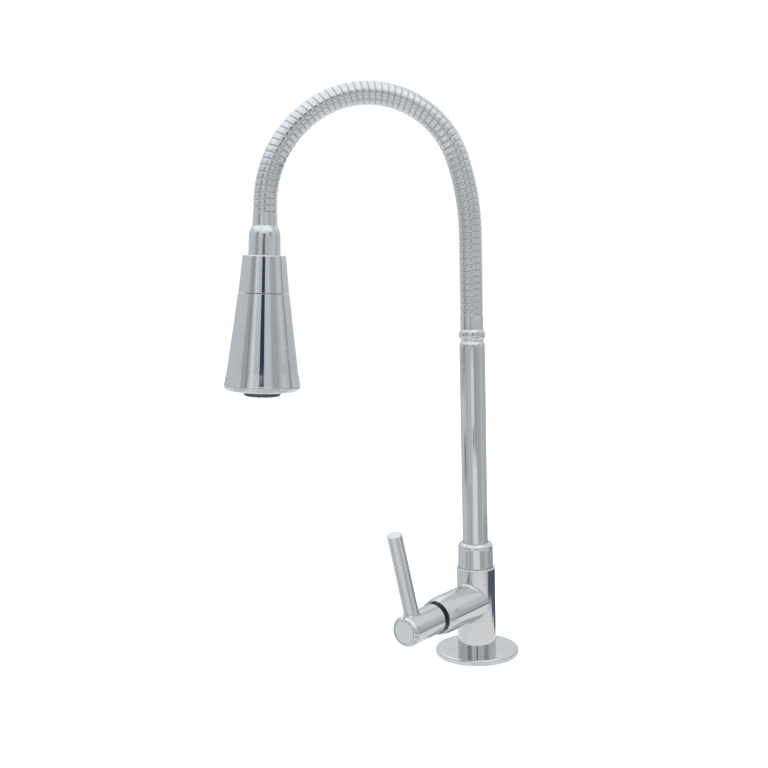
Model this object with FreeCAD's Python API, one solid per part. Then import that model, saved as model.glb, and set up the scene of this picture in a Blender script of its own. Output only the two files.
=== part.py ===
import FreeCAD, Part
import math
import os

from FreeCAD import Vector

# Kitchen tap with one lever and a bendable ribbed spout. Millimetres.
# Origin on the worktop, under the middle of the base plate; +Z up, the spout reaches along -Y.
# Turned pieces are drawn as (radius, height) outlines and then set on their own axis.

# Base plate and what clamps the tap to the worktop
PLATE_R = 31.5
PLATE_H = 4.0
PLATE_ROUND = 1.4
PLATE_HOLE_R = 12.3
GASKET_INNER_R = 20.3
GASKET_OUTER_R = 28.2
GASKET_H = 1.6
GASKET_GAP = 0.3
WORKTOP_H = 30.0
SHANK_R = 10.48
SHANK_BORE_R = 6.5
SHANK_LENGTH_BELOW = 56.0
SHANK_TOP = 15.0
SHANK_CHAMFER = 0.9
SHANK_GROOVE_AT = -43.2
SHANK_GROOVE_W = 0.8
SHANK_GROOVE_DEPTH = 0.35
DECK_SEAL_H = 2.0
DECK_SEAL_R = 18.0
CLAMP_WASHER_H = 1.6
CLAMP_WASHER_R = 20.0
CLAMP_WASHER_PLAY = 0.35
BACKNUT_H = 8.4
BACKNUT_FLATS = 30.0
BACKNUT_FLANGE_R = 19.1
BACKNUT_FLANGE_H = 1.6

# Body
BODY_R = 14.6
BODY_TOP = 67.3
BODY_CHAMFER = 1.2
SPIGOT_R = 12.0
SPIGOT_BOTTOM = 0.8
WATERWAY_R = 6.5
INLET_TOP = 44.0
OUTLET_FLOOR = 47.0
SOCKET_FLOOR = 50.0
COUNTERBORE_FLOOR = 57.0
COLLAR_THREAD_R = 12.6
CROSS_DRILL_Z = 48.6
CROSS_DRILL_R = 1.9
CROSS_DRILL_START = 3.0
CROSS_DRILL_PAST_SEAT = 5.0

# Side barrel with the valve, on an axis half way between the spout and the right-hand side
BRANCH_ANGLE = 45.0
BRANCH_Z = 41.5
BARREL_R = 14.0
BARREL_STRAIGHT_END = 43.0
BARREL_END = 54.2
BARREL_RIM_R = 12.9
BARREL_MOUTH_R = 11.8
BARREL_MOUTH_FLOOR = 46.0
VALVE_THREAD_R = 10.4
VALVE_THREAD_START = 30.0
CHAMBER_R = 9.6
SEAT_AT = 19.0
SEAT_HOLE_R = 3.5
JUNCTION_FILLET = 2.0

# Quarter-turn ceramic valve
SEAT_SEAL_H = 1.5
DISC_R = 7.4
DISC_H = 3.0
DISC_GAP = 0.02
DISC_PORT_R = 5.2
DISC_BAR = 1.1
CAGE_R = 9.0
CAGE_INNER_R = 7.5
CAGE_WINDOW_W = 7.0
CAGE_WINDOW_H = 4.0
CAGE_WINDOW_BELOW = 0.5
VALVE_HEX_FLATS = 20.0
VALVE_HEX_H = 4.0
VALVE_NECK_R = 7.4
VALVE_NECK_END = 60.0
SPINDLE_R = 4.0
SPINDLE_HEAD_R = 7.3
SPINDLE_HEAD_H = 3.9
SPINDLE_END = 74.0
SPINDLE_CLIP_R = 5.6
SPINDLE_CLIP_H = 0.8
SPINDLE_CLIP_SLOT = 2.4
SPINDLE_GROOVE_DEPTH = 0.6
SCREW_R = 1.6
SCREW_DEPTH = 8.0
SCREW_HOLE_R = 2.2
SCREW_HEAD_R = 3.9
SCREW_HEAD_H = 2.6
SCREW_SOCKET_R = 1.5
RUNNING_FIT = 0.06

# Handle
HUB_R = 11.05
HUB_START = 57.4
HUB_END = 89.6
HUB_SKIRT_R = 8.4
HUB_FRONT_R = 7.6
HUB_FRONT_START = 80.0
HUB_EDGE = 0.35
CAP_FACE_R = 8.5
CAP_FACE_AT = 92.8
CAP_SPIGOT_H = 3.4
LEVER_R = 5.45
LEVER_AT = 80.3
LEVER_LENGTH = 74.4
LEVER_LEAN = 16.4
LEVER_FILLET = 2.2
LEVER_END_ROUND = 0.7

# Swivel collar and the riser that turns in it
COLLAR_BOTTOM = 67.6
COLLAR_SKIRT_BOTTOM = 60.8
COLLAR_LOWER_R = 13.45
COLLAR_UPPER_R = 13.15
COLLAR_SHOULDER = 82.2
COLLAR_TOP = 86.2
COLLAR_TOP_R = 10.6
COLLAR_LIP_R = 9.75
BUSH_OUTER_R = 11.3
BUSH_TOP = 83.4
RISER_R = 9.6
RISER_BORE_R = 7.0
RISER_BOTTOM = 50.8
RISER_SHOULDER = 234.4
RISER_SHOULDER_H = 3.9
RISER_TOP = RISER_SHOULDER + RISER_SHOULDER_H
RISER_TOP_R = 8.45
FLANGE_R = 12.3
FLANGE_H = 2.2
SLIP_WASHER_H = 1.2
O_RING_R = 0.9
O_RING_CENTRE_R = 8.7
O_RING_ZS = (52.9, 55.5)

# Riser tip and crimped ferrule
TIP_IN_RISER = 16.3
TIP_BOTTOM = RISER_TOP - TIP_IN_RISER
BEAD_STANDOFF = 1.4
BEAD_LOWER_H = 3.2
BEAD_UPPER_H = 4.5
BEAD_R = 9.83
BEAD_BOTTOM = RISER_TOP + BEAD_STANDOFF
BEAD_AT = BEAD_BOTTOM + BEAD_LOWER_H
BEAD_TOP = BEAD_AT + BEAD_UPPER_H
FERRULE_LENGTH = 10.4
FERRULE_R = 8.58
FERRULE_BORE_R = 7.35
TIP_NOSE_H = 3.2
TIP_BORE_R = 3.4
BARB_R = 4.4
BARB_LENGTH = 16.0

# Bendable spout: straight runs at both ends and three arcs between them, in the YZ plane
HOSE_START_Z = BEAD_TOP + FERRULE_LENGTH
STRAIGHT_RUN = 58.5
ARC_RADII = (184.0, 68.6, 82.0)
ARC_DEGREES = (17.4, 101.8, 57.8)
END_RUN = 7.8
SLEEVE_R = 7.5
SLEEVE_LENGTH = 9.0
SLEEVE_FIT = 0.05
RIB_COUNT = 70
SECTION_COUNT = 10
RIB_R = 8.35
RIB_WIDTH = 3.6
RIB_BEVEL = 0.45
GROOVE_R = 7.55
HOSE_BORE_R = 6.6
NECK_R = 7.3
NECK_REACH = 1.2
COUNTERBORE_R = 7.72
COUNTERBORE_DEPTH = 2.2
TUBE_R = 6.2
TUBE_BORE_R = 4.4
TUBE_END_GAP = 0.05
TUBE_INTO_BELL = 13.0

# Bell on the end of the spout, drawn downward from its top rim
BELL_RIM_R = 8.54
BELL_NECK_R = 8.86
BELL_NECK_END = 9.4
BELL_R = 11.25
BELL_BOTTOM_R = 11.62
BELL_SHOULDER_END = 16.8
BELL_END = 34.5
BELL_BORE_R = 6.9
BELL_THREAD_R = 7.5
BELL_THREAD_START = 20.0
BALL_AT = 42.0
BALL_R = 8.6
BALL_FLAT = 47.6
BALL_STEM_R = 5.0
BALL_WATERWAY_R = 3.0

# Ball socket in the top of the spray head
SOCKET_R = 12.4
SOCKET_TOP = 37.7
SOCKET_BOTTOM = 49.8
SOCKET_FLANGE_R = 14.2
SOCKET_FLANGE_TOP = 41.1
SOCKET_FLANGE_BOTTOM = 44.0
BALL_SEAL_TOP = 45.2
BALL_SEAL_BOTTOM = 47.6
BALL_SEAL_R = 9.6
BALL_SEAL_BORE_R = 7.3
SOCKET_FLOOR_AT = 48.8
SOCKET_OUTLET_R = 4.6
AXIAL_PLAY = 0.1

# Spray head, an upper cone and a lower cone that twists against it
HEAD_TOP = 30.4
HEAD_TOP_ROUND = 1.4
HEAD_TOP_R = 15.55
HEAD_OPENING_R = 13.5
LEDGE_TOP = 37.5
LEDGE_R = 12.5
LEDGE_BOTTOM = 41.0
CORE_THREAD_R = 14.6
SEAM_AT = 57.4
SEAM_GAP = 0.4
UPPER_CONE_END_R = 18.22
LOWER_CONE_START_R = 18.42
LOWER_CONE_MID_R = 24.9
LOWER_CONE_MID_AT = 106.1
FLARE_HOLLOW = 0.3
LOWER_CONE_R = 27.9
LOWER_CONE_WIDEST = 124.7
LOWER_CONE_LIP_R = 25.0
LOWER_CONE_END = 128.1
CONE_WALL = 2.2
CORE_R = 13.0
CORE_TOP = 44.1
CORE_CUP_FLOOR = 50.0
CORE_BORE_R = 10.0
CORE_BORE_START = 64.0
STRAINER_H = 3.0
STRAINER_CIRCLES = (2.2, 4.6)
STRAINER_HOLE_COUNTS = (6, 12)
STRAINER_HOLE_R = 0.55
STRAINER_FLAT_R = 6.5
STRAINER_SINK = 0.4
STRAINER_SHEET = 1.0
BEARING_END = 63.0
WEB_TOP = 97.0
WEB_BOTTOM = 100.0
CLIP_H = 1.3
CLIP_GROOVE_R = 12.0
CLIP_R = 14.6
PLATE_TOP = 113.5
CORE_PLATE_GAP = 1.5
CORE_END = PLATE_TOP - CORE_PLATE_GAP
PLATE_SEAT_R = 20.0
PLATE_SEAT_H = 3.0
SPRAY_PLATE_R = 22.4
SPRAY_PLATE_H = 7.5
SPRAY_SPIGOT_R = 9.94
SPRAY_SPIGOT_TOP = 105.5
SPRAY_O_RING_IN = 3.0
SPRAY_O_RING_AT = SPRAY_SPIGOT_TOP + SPRAY_O_RING_IN
SPRAY_O_RING_R = 0.75
SPRAY_GROOVE_DEPTH = 1.5
SPRAY_GROOVE_W = 1.6
SPRAY_BORE_R = 7.6
SPRAY_PORT_CIRCLES = (10.6,)
SPRAY_PORT_COUNTS = (10,)
SPRAY_PORT_R = 1.1
FACE_R = 13.7
FACE_FLANGE_R = 17.5
FACE_END = 132.2
FACE_ROUND = 2.0
FACE_RING_BORE_R = 14.1
FACE_RING_TOP = 124.0
AERATOR_R = 6.0
AERATOR_WALL = 1.0
AERATOR_CIRCLES = (1.6, 3.6)
AERATOR_HOLE_COUNTS = (5, 10)
AERATOR_HOLE_R = 0.5
AERATOR_PLAY = 0.3
NOZZLE_R = 0.55
NOZZLE_CIRCLES = (8.4, 11.0)
NOZZLE_COUNTS = (10, 14)

UP = Vector(0, 0, 1)
BRANCH = Vector(math.sin(math.radians(BRANCH_ANGLE)), -math.cos(math.radians(BRANCH_ANGLE)), 0)
BRANCH_ORIGIN = Vector(0, 0, BRANCH_Z)


def turned(outline, centre=Vector(0, 0, 0), axis=UP):
    """Solid of revolution from (radius, height) points; four numbers are an arc through the first two."""
    edges = []
    here = Vector(outline[0][0], 0, outline[0][1])
    for entry in list(outline[1:]) + [outline[0]]:
        there = Vector(entry[-2], 0, entry[-1])
        if (there - here).Length < 1e-6:
            continue
        if len(entry) == 4:
            edges.append(Part.Arc(here, Vector(entry[0], 0, entry[1]), there).toShape())
        else:
            edges.append(Part.makeLine(here, there))
        here = there
    face = Part.Face(Part.Wire(edges))
    solid = face.revolve(Vector(0, 0, 0), UP, 360)
    return along(solid, centre, axis)


def along(shape, centre, axis):
    """Shape drawn on the Z axis, moved so that its axis starts at centre and runs along axis."""
    placed = shape.copy()
    placed.Placement = FreeCAD.Placement(centre, FreeCAD.Rotation(UP, axis))
    return placed


def ring(inner_r, outer_r, low, high):
    """Outline of a plain ring or sleeve."""
    return [(inner_r, low), (outer_r, low), (outer_r, high), (inner_r, high)]


def rod(radius, low, high, centre=Vector(0, 0, 0), axis=UP):
    """Plain round bar between two heights on an axis."""
    return along(Part.makeCylinder(radius, high - low, Vector(0, 0, low)), centre, axis)


def hexagon(flats, low, high):
    """Hexagonal bar, sized across its flats, with lightly bevelled corners."""
    corner = flats / math.sqrt(3.0)
    points = [Vector(corner * math.cos(math.radians(60 * k)), corner * math.sin(math.radians(60 * k)), low)
              for k in range(7)]
    prism = Part.Face(Part.makePolygon(points)).extrude(Vector(0, 0, high - low))
    bevel = 0.12 * corner
    drum = turned([(0, low), (corner - bevel, low), (corner, low + bevel / 2), (corner, high - bevel / 2),
                   (corner - bevel, high), (0, high)])
    return prism.common(drum)


# Worktop fixing

def base_plate():
    edge = PLATE_R - PLATE_ROUND
    plate = turned([
        (PLATE_HOLE_R, 0), (PLATE_R - 0.4, 0), (PLATE_R, 0.4), (PLATE_R, PLATE_H - PLATE_ROUND),
        (edge + PLATE_ROUND * 0.7071, PLATE_H - PLATE_ROUND * 0.2929, edge, PLATE_H),
        (PLATE_HOLE_R, PLATE_H)])
    groove = turned(ring(GASKET_INNER_R - GASKET_GAP, GASKET_OUTER_R + GASKET_GAP, -1, GASKET_H))
    return plate.cut(groove)


def base_gasket():
    return turned(ring(GASKET_INNER_R, GASKET_OUTER_R, 0, GASKET_H))


def deck_levels():
    """Heights of the seal, the clamp washer and the nut under the worktop, from the top down."""
    seal = -WORKTOP_H
    washer = seal - DECK_SEAL_H
    nut = washer - CLAMP_WASHER_H
    return seal, washer, nut, nut - BACKNUT_H


def inlet_shank():
    """Threaded tail; a small groove below the nut marks off the thread that takes the supply hose."""
    end = -SHANK_LENGTH_BELOW
    groove_r = SHANK_R - SHANK_GROOVE_DEPTH
    return turned([
        (SHANK_BORE_R, end), (SHANK_R - SHANK_CHAMFER, end), (SHANK_R, end + SHANK_CHAMFER),
        (SHANK_R, SHANK_GROOVE_AT), (groove_r, SHANK_GROOVE_AT), (groove_r, SHANK_GROOVE_AT + SHANK_GROOVE_W),
        (SHANK_R, SHANK_GROOVE_AT + SHANK_GROOVE_W), (SHANK_R, SHANK_TOP), (SHANK_BORE_R, SHANK_TOP)])


def deck_seal():
    seal, washer = deck_levels()[:2]
    return turned(ring(SHANK_R, DECK_SEAL_R, washer, seal))


def clamp_washer():
    washer, nut = deck_levels()[1:3]
    return turned(ring(SHANK_R + CLAMP_WASHER_PLAY, CLAMP_WASHER_R, nut, washer))


def backnut():
    top, bottom = deck_levels()[2:]
    flange = turned(ring(SHANK_R, BACKNUT_FLANGE_R, top - BACKNUT_FLANGE_H, top))
    nut = hexagon(BACKNUT_FLATS, bottom, top - 1.0).fuse(flange)
    return nut.cut(rod(SHANK_R, bottom - 1, top + 1)).removeSplitter()


# Body

def body_outside():
    column = turned([
        (0, PLATE_H), (BODY_R, PLATE_H), (BODY_R, BODY_TOP - BODY_CHAMFER),
        (BODY_R - 0.25, BODY_TOP - 0.3 * BODY_CHAMFER, BODY_R - BODY_CHAMFER, BODY_TOP), (0, BODY_TOP)])
    round_start = BARREL_R - BARREL_RIM_R
    barrel = turned([
        (0, 0), (BARREL_R, 0), (BARREL_R, BARREL_STRAIGHT_END),
        (BARREL_R - 0.26 * round_start, (BARREL_STRAIGHT_END + BARREL_END) / 2 - 0.3,
         BARREL_RIM_R, BARREL_END - 0.6),
        (BARREL_RIM_R - 0.2, BARREL_END - 0.12, BARREL_RIM_R - 0.6, BARREL_END),
        (0, BARREL_END)], BRANCH_ORIGIN, BRANCH)
    joined = column.fuse(barrel)
    seam = [edge for edge in joined.Edges if is_junction(edge)]
    return joined.makeFillet(JUNCTION_FILLET, seam)


def points_on(edge):
    """Three points along an edge, away from its ends."""
    length = edge.LastParameter - edge.FirstParameter
    return [edge.valueAt(edge.FirstParameter + share * length) for share in (0.2, 0.5, 0.8)]


def is_junction(edge):
    """True for the curved edges where the barrel leaves the body."""
    samples = points_on(edge)
    on_body = all(abs(math.hypot(p.x, p.y) - BODY_R) < 0.01 for p in samples)
    off_axis = [(p - BRANCH_ORIGIN).cross(BRANCH).Length for p in samples]
    return on_body and all(abs(d - BARREL_R) < 0.01 for d in off_axis)


def body_waterways():
    """Everything that is bored out of the body, as one list of solids."""
    upright = turned([
        (0, SPIGOT_BOTTOM - 1), (SHANK_R, SPIGOT_BOTTOM - 1), (SHANK_R, SHANK_TOP), (WATERWAY_R, SHANK_TOP),
        (WATERWAY_R, INLET_TOP - 1), (WATERWAY_R - 1, INLET_TOP), (0, INLET_TOP)])
    socket = turned([
        (0, OUTLET_FLOOR), (RISER_BORE_R, OUTLET_FLOOR), (RISER_BORE_R, SOCKET_FLOOR),
        (RISER_R + RUNNING_FIT, SOCKET_FLOOR), (RISER_R + RUNNING_FIT, COUNTERBORE_FLOOR),
        (COLLAR_THREAD_R, COUNTERBORE_FLOOR), (COLLAR_THREAD_R, BODY_TOP + 1), (0, BODY_TOP + 1)])
    chamber = turned([
        (0, 0), (SEAT_HOLE_R, 0), (SEAT_HOLE_R, SEAT_AT), (CHAMBER_R, SEAT_AT),
        (CHAMBER_R, VALVE_THREAD_START), (VALVE_THREAD_R, VALVE_THREAD_START),
        (VALVE_THREAD_R, BARREL_MOUTH_FLOOR), (BARREL_MOUTH_R, BARREL_MOUTH_FLOOR),
        (BARREL_MOUTH_R, BARREL_END - 0.3),
        (BARREL_MOUTH_R + 0.3, BARREL_END), (BARREL_MOUTH_R + 0.3, BARREL_END + 1), (0, BARREL_END + 1)],
        BRANCH_ORIGIN, BRANCH)
    cross = rod(CROSS_DRILL_R, CROSS_DRILL_START, SEAT_AT + CROSS_DRILL_PAST_SEAT,
                Vector(0, 0, CROSS_DRILL_Z), BRANCH)
    return [upright, socket, chamber, cross]


def tap_body():
    spigot = rod(SPIGOT_R, SPIGOT_BOTTOM, PLATE_H + 1)
    solid = body_outside().fuse(spigot)
    for hollow in body_waterways():
        solid = solid.cut(hollow)
    return solid.removeSplitter()


# Valve

def on_branch(outline):
    return turned(outline, BRANCH_ORIGIN, BRANCH)


def disc_levels():
    """Where the fixed disc, the turning disc and the spindle's driving head start along the barrel."""
    fixed = SEAT_AT + SEAT_SEAL_H
    turning = fixed + DISC_H + DISC_GAP
    return fixed, turning, turning + DISC_H


def seat_seal():
    return on_branch(ring(SEAT_HOLE_R + 0.6, DISC_R - 0.2, SEAT_AT, SEAT_AT + SEAT_SEAL_H))


def half_moon(reach, low, high, side):
    """Half-round port through a ceramic disc, on one side of its middle."""
    port = on_branch([(0, low - 1), (reach, low - 1), (reach, high + 1), (0, high + 1)])
    near = DISC_BAR if side > 0 else -DISC_BAR - 2 * reach
    block = Part.makeBox(4 * reach, 2 * reach, high - low + 4, Vector(-2 * reach, near, low - 2))
    return port.common(along(block, BRANCH_ORIGIN, BRANCH))


def ceramic_disc(low, side):
    disc = on_branch([(0, low), (DISC_R, low), (DISC_R, low + DISC_H), (0, low + DISC_H)])
    return disc.cut(half_moon(DISC_PORT_R, low, low + DISC_H, side))


def valve_housing():
    cage_start = SEAT_AT + 0.2
    head_start = disc_levels()[2]
    stop = head_start + SPINDLE_HEAD_H + AXIAL_PLAY
    shell = on_branch([
        (CAGE_INNER_R, cage_start), (CAGE_R, cage_start), (CAGE_R, VALVE_THREAD_START),
        (VALVE_THREAD_R, VALVE_THREAD_START), (VALVE_THREAD_R, BARREL_MOUTH_FLOOR),
        (VALVE_NECK_R, BARREL_MOUTH_FLOOR), (VALVE_NECK_R, VALVE_NECK_END - 0.5),
        (VALVE_NECK_R - 0.5, VALVE_NECK_END), (SPINDLE_R + RUNNING_FIT, VALVE_NECK_END),
        (SPINDLE_R + RUNNING_FIT, stop), (CAGE_INNER_R, stop)])
    nut_top = BARREL_MOUTH_FLOOR + VALVE_HEX_H
    nut = along(hexagon(VALVE_HEX_FLATS, BARREL_MOUTH_FLOOR, nut_top), BRANCH_ORIGIN, BRANCH)
    nut = nut.cut(rod(VALVE_NECK_R - 1, BARREL_MOUTH_FLOOR - 1, nut_top + 1, BRANCH_ORIGIN, BRANCH))
    return shell.fuse(nut).cut(cage_window()).removeSplitter()


def cage_window():
    """Slot right across the cage beside the turning disc, through which the water leaves."""
    low = disc_levels()[1] - CAGE_WINDOW_BELOW
    corner = Vector(-CAGE_WINDOW_W / 2, -1.5 * CAGE_R, low)
    block = Part.makeBox(CAGE_WINDOW_W, 3 * CAGE_R, CAGE_WINDOW_H, corner)
    return along(block, BRANCH_ORIGIN, BRANCH)


def valve_o_ring():
    """Seals the housing behind its thread; it sits in the chamber's step."""
    centre_r = (CHAMBER_R + CAGE_R) / 2
    minor = (CHAMBER_R - CAGE_R) / 2
    torus = Part.makeTorus(centre_r, minor, Vector(0, 0, VALVE_THREAD_START - 1.0))
    return along(torus, BRANCH_ORIGIN, BRANCH)


def valve_spindle():
    start = disc_levels()[2]
    neck = start + SPINDLE_HEAD_H
    clip_at = VALVE_NECK_END + AXIAL_PLAY
    groove_r = SPINDLE_R - SPINDLE_GROOVE_DEPTH
    return on_branch([
        (0, start), (SPINDLE_HEAD_R, start), (SPINDLE_HEAD_R, neck), (SPINDLE_R, neck),
        (SPINDLE_R, clip_at), (groove_r, clip_at), (groove_r, clip_at + SPINDLE_CLIP_H),
        (SPINDLE_R, clip_at + SPINDLE_CLIP_H), (SPINDLE_R, SPINDLE_END), (SCREW_R, SPINDLE_END),
        (SCREW_R, SPINDLE_END - SCREW_DEPTH - 1.0), (0, SPINDLE_END - SCREW_DEPTH - 2.0)])


def spindle_clip():
    at = VALVE_NECK_END + AXIAL_PLAY
    full = on_branch(ring(SPINDLE_R - SPINDLE_GROOVE_DEPTH, SPINDLE_CLIP_R, at, at + SPINDLE_CLIP_H))
    corner = Vector(-SPINDLE_CLIP_SLOT / 2, 0, at - 1)
    slot = Part.makeBox(SPINDLE_CLIP_SLOT, 2 * SPINDLE_CLIP_R, SPINDLE_CLIP_H + 2, corner)
    return full.cut(along(slot, BRANCH_ORIGIN, BRANCH))


# Handle

def lever_axis():
    lean = math.radians(LEVER_LEAN)
    return UP * math.cos(lean) + BRANCH * math.sin(lean)


def handle():
    """Hub and lever cast in one piece, with a fillet where they meet."""
    hub = on_branch([
        (0, HUB_START), (HUB_R - HUB_EDGE, HUB_START), (HUB_R, HUB_START + HUB_EDGE), (HUB_R, HUB_END - 0.15),
        (HUB_R - 0.15, HUB_END), (0, HUB_END)])
    foot = BRANCH_ORIGIN + BRANCH * LEVER_AT
    inset = LEVER_END_ROUND * (1 - math.sqrt(0.5))
    lever = turned([
        (0, 0), (LEVER_R, 0), (LEVER_R, LEVER_LENGTH - LEVER_END_ROUND),
        (LEVER_R - inset, LEVER_LENGTH - inset, LEVER_R - LEVER_END_ROUND, LEVER_LENGTH), (0, LEVER_LENGTH)],
        foot, lever_axis())
    joined = hub.fuse(lever)
    root = [edge for edge in joined.Edges if is_lever_root(edge, foot)]
    solid = joined.makeFillet(LEVER_FILLET, root)
    clip_room = VALVE_NECK_END + 1.2
    hollow = on_branch([
        (0, HUB_START - 1), (HUB_SKIRT_R, HUB_START - 1), (HUB_SKIRT_R, clip_room),
        (SPINDLE_R, clip_room + 1), (SPINDLE_R, SPINDLE_END), (SCREW_HOLE_R, SPINDLE_END),
        (SCREW_HOLE_R, HUB_FRONT_START), (HUB_FRONT_R, HUB_FRONT_START), (HUB_FRONT_R, HUB_END + 1),
        (0, HUB_END + 1)])
    return solid.cut(hollow).removeSplitter()


def is_lever_root(edge, foot):
    """True for the edges where the lever meets the hub's round side."""
    samples = points_on(edge)
    on_hub = all(abs((p - BRANCH_ORIGIN).cross(BRANCH).Length - HUB_R) < 0.01 for p in samples)
    on_lever = all(abs((p - foot).cross(lever_axis()).Length - LEVER_R) < 0.01 for p in samples)
    return on_hub and on_lever


def handle_screw():
    head = HUB_FRONT_START
    return on_branch([
        (0, SPINDLE_END - SCREW_DEPTH), (SCREW_R, SPINDLE_END - SCREW_DEPTH), (SCREW_R, SPINDLE_END),
        (SCREW_HOLE_R, SPINDLE_END), (SCREW_HOLE_R, head), (SCREW_HEAD_R, head), (SCREW_HEAD_R, head + 2.0),
        (SCREW_HEAD_R - 0.5, head + SCREW_HEAD_H), (SCREW_SOCKET_R, head + SCREW_HEAD_H),
        (SCREW_SOCKET_R, head + 1.0), (0, head + 1.0)])


def hub_cap():
    rise = CAP_FACE_AT - HUB_END
    return on_branch([
        (0, HUB_END - CAP_SPIGOT_H), (HUB_FRONT_R, HUB_END - CAP_SPIGOT_H), (HUB_FRONT_R, HUB_END),
        (HUB_R - 0.15, HUB_END), (HUB_R, HUB_END + 0.2),
        (HUB_R - 0.55, HUB_END + 0.62 * rise, CAP_FACE_R + 0.5, CAP_FACE_AT - 0.05),
        (CAP_FACE_R + 0.2, CAP_FACE_AT), (CAP_FACE_R, CAP_FACE_AT - 0.25), (0, CAP_FACE_AT - 0.25)])


# Riser and its bearing

def flange_top():
    return COUNTERBORE_FLOOR + 0.05 + FLANGE_H


def slip_washer():
    return turned(ring(RISER_R + 0.15, FLANGE_R, COLLAR_SKIRT_BOTTOM - SLIP_WASHER_H, COLLAR_SKIRT_BOTTOM))


def swivel_bush():
    return turned(ring(RISER_R + RUNNING_FIT, BUSH_OUTER_R, COLLAR_SKIRT_BOTTOM + 0.2, BUSH_TOP))


def swivel_collar():
    rise = COLLAR_TOP - COLLAR_SHOULDER
    return turned([
        (BUSH_OUTER_R, COLLAR_SKIRT_BOTTOM), (COLLAR_THREAD_R, COLLAR_SKIRT_BOTTOM),
        (COLLAR_THREAD_R, COLLAR_BOTTOM), (COLLAR_LOWER_R - 0.5, COLLAR_BOTTOM),
        (COLLAR_LOWER_R, COLLAR_BOTTOM + 0.5), (COLLAR_UPPER_R, COLLAR_SHOULDER),
        (COLLAR_UPPER_R - 0.75, COLLAR_SHOULDER + 0.72 * rise, COLLAR_TOP_R, COLLAR_TOP),
        (COLLAR_LIP_R + 0.3, COLLAR_TOP), (COLLAR_LIP_R, COLLAR_TOP - 0.5), (COLLAR_LIP_R, BUSH_TOP),
        (BUSH_OUTER_R, BUSH_TOP)])


def riser_tube():
    low = COUNTERBORE_FLOOR + 0.05
    top = flange_top()
    shoulder = RISER_TOP - RISER_SHOULDER
    tube = turned([
        (RISER_BORE_R, RISER_BOTTOM), (RISER_R - 0.4, RISER_BOTTOM), (RISER_R, RISER_BOTTOM + 0.4),
        (RISER_R, low), (FLANGE_R, low), (FLANGE_R, top), (RISER_R, top), (RISER_R, RISER_SHOULDER),
        (RISER_R - 0.28, RISER_SHOULDER + 0.6 * shoulder, RISER_TOP_R, RISER_TOP), (RISER_BORE_R, RISER_TOP)])
    root = O_RING_CENTRE_R - O_RING_R
    for at in O_RING_ZS:
        tube = tube.cut(turned(ring(root, RISER_R + 1, at - O_RING_R - 0.1, at + O_RING_R + 0.1)))
    return tube


def riser_o_rings():
    rings = [Part.makeTorus(O_RING_CENTRE_R, O_RING_R, Vector(0, 0, at)) for at in O_RING_ZS]
    return Part.makeCompound(rings)


def riser_tip():
    nose = BEAD_TOP + TIP_NOSE_H
    return turned([
        (TIP_BORE_R, TIP_BOTTOM), (RISER_BORE_R, TIP_BOTTOM), (RISER_BORE_R, RISER_TOP),
        (RISER_TOP_R, RISER_TOP), (RISER_TOP_R, BEAD_BOTTOM - 0.5),
        (RISER_TOP_R + 0.9, BEAD_AT - 2.0, BEAD_R, BEAD_AT),
        (BEAD_R - 0.3, BEAD_AT + 2.1, FERRULE_R + 0.55, BEAD_TOP - 1.0),
        (FERRULE_R + 0.14, BEAD_TOP - 0.5, FERRULE_R, BEAD_TOP),
        (FERRULE_BORE_R, BEAD_TOP), (FERRULE_BORE_R, nose), (BARB_R, nose), (BARB_R, nose + BARB_LENGTH),
        (BARB_R - 0.5, nose + BARB_LENGTH + 0.5), (TIP_BORE_R, nose + BARB_LENGTH + 0.5)])


def hose_ferrule():
    return turned([
        (FERRULE_BORE_R, BEAD_TOP), (FERRULE_R, BEAD_TOP), (FERRULE_R, HOSE_START_Z - 0.4),
        (FERRULE_R - 0.12, HOSE_START_Z - 0.12, FERRULE_R - 0.4, HOSE_START_Z),
        (FERRULE_BORE_R, HOSE_START_Z)])


# Bendable spout

def hose_length():
    arcs = sum(radius * math.radians(degrees) for radius, degrees in zip(ARC_RADII, ARC_DEGREES))
    return STRAIGHT_RUN + arcs + END_RUN


def route(distance):
    """Point and direction on the spout's centre line, a distance along it from the ferrule."""
    point = Vector(0, 0, HOSE_START_Z)
    heading = 90.0
    if distance <= STRAIGHT_RUN:
        return point + UP * distance, UP
    point = point + UP * STRAIGHT_RUN
    left = distance - STRAIGHT_RUN
    for radius, degrees in zip(ARC_RADII, ARC_DEGREES):
        turn = min(math.degrees(left / radius), degrees)
        before = math.radians(heading)
        after = math.radians(heading - turn)
        reach = radius * (math.sin(before) - math.sin(after))
        rise = radius * (math.cos(after) - math.cos(before))
        point = point + Vector(0, -reach, rise)
        heading -= turn
        left -= radius * math.radians(turn)
        if left <= 1e-9:
            break
    angle = math.radians(heading)
    return point + direction(angle) * max(left, 0.0), direction(angle)


def direction(angle):
    return Vector(0, -math.cos(angle), math.sin(angle))


def circle_wire(centre, axis, radius):
    """Circle across an axis in the YZ plane, started on the steady X axis so that lofts don't twist."""
    side = axis.cross(Vector(1, 0, 0))
    frame = FreeCAD.Placement(centre, FreeCAD.Rotation(Vector(1, 0, 0), side, axis, "XZY"))
    loop = Part.makeCircle(radius)
    loop.Placement = frame
    return Part.Wire([loop])


def rib_wires(index, pitch):
    """The four circles of one rib, all across the direction at the rib's own middle."""
    centre, axis = route((index + 0.5) * pitch)
    half = RIB_WIDTH / 2
    steps = ((-half, GROOVE_R), (RIB_BEVEL - half, RIB_R), (half - RIB_BEVEL, RIB_R), (half, GROOVE_R))
    return [circle_wire(centre + axis * at, axis, radius) for at, radius in steps]


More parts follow.
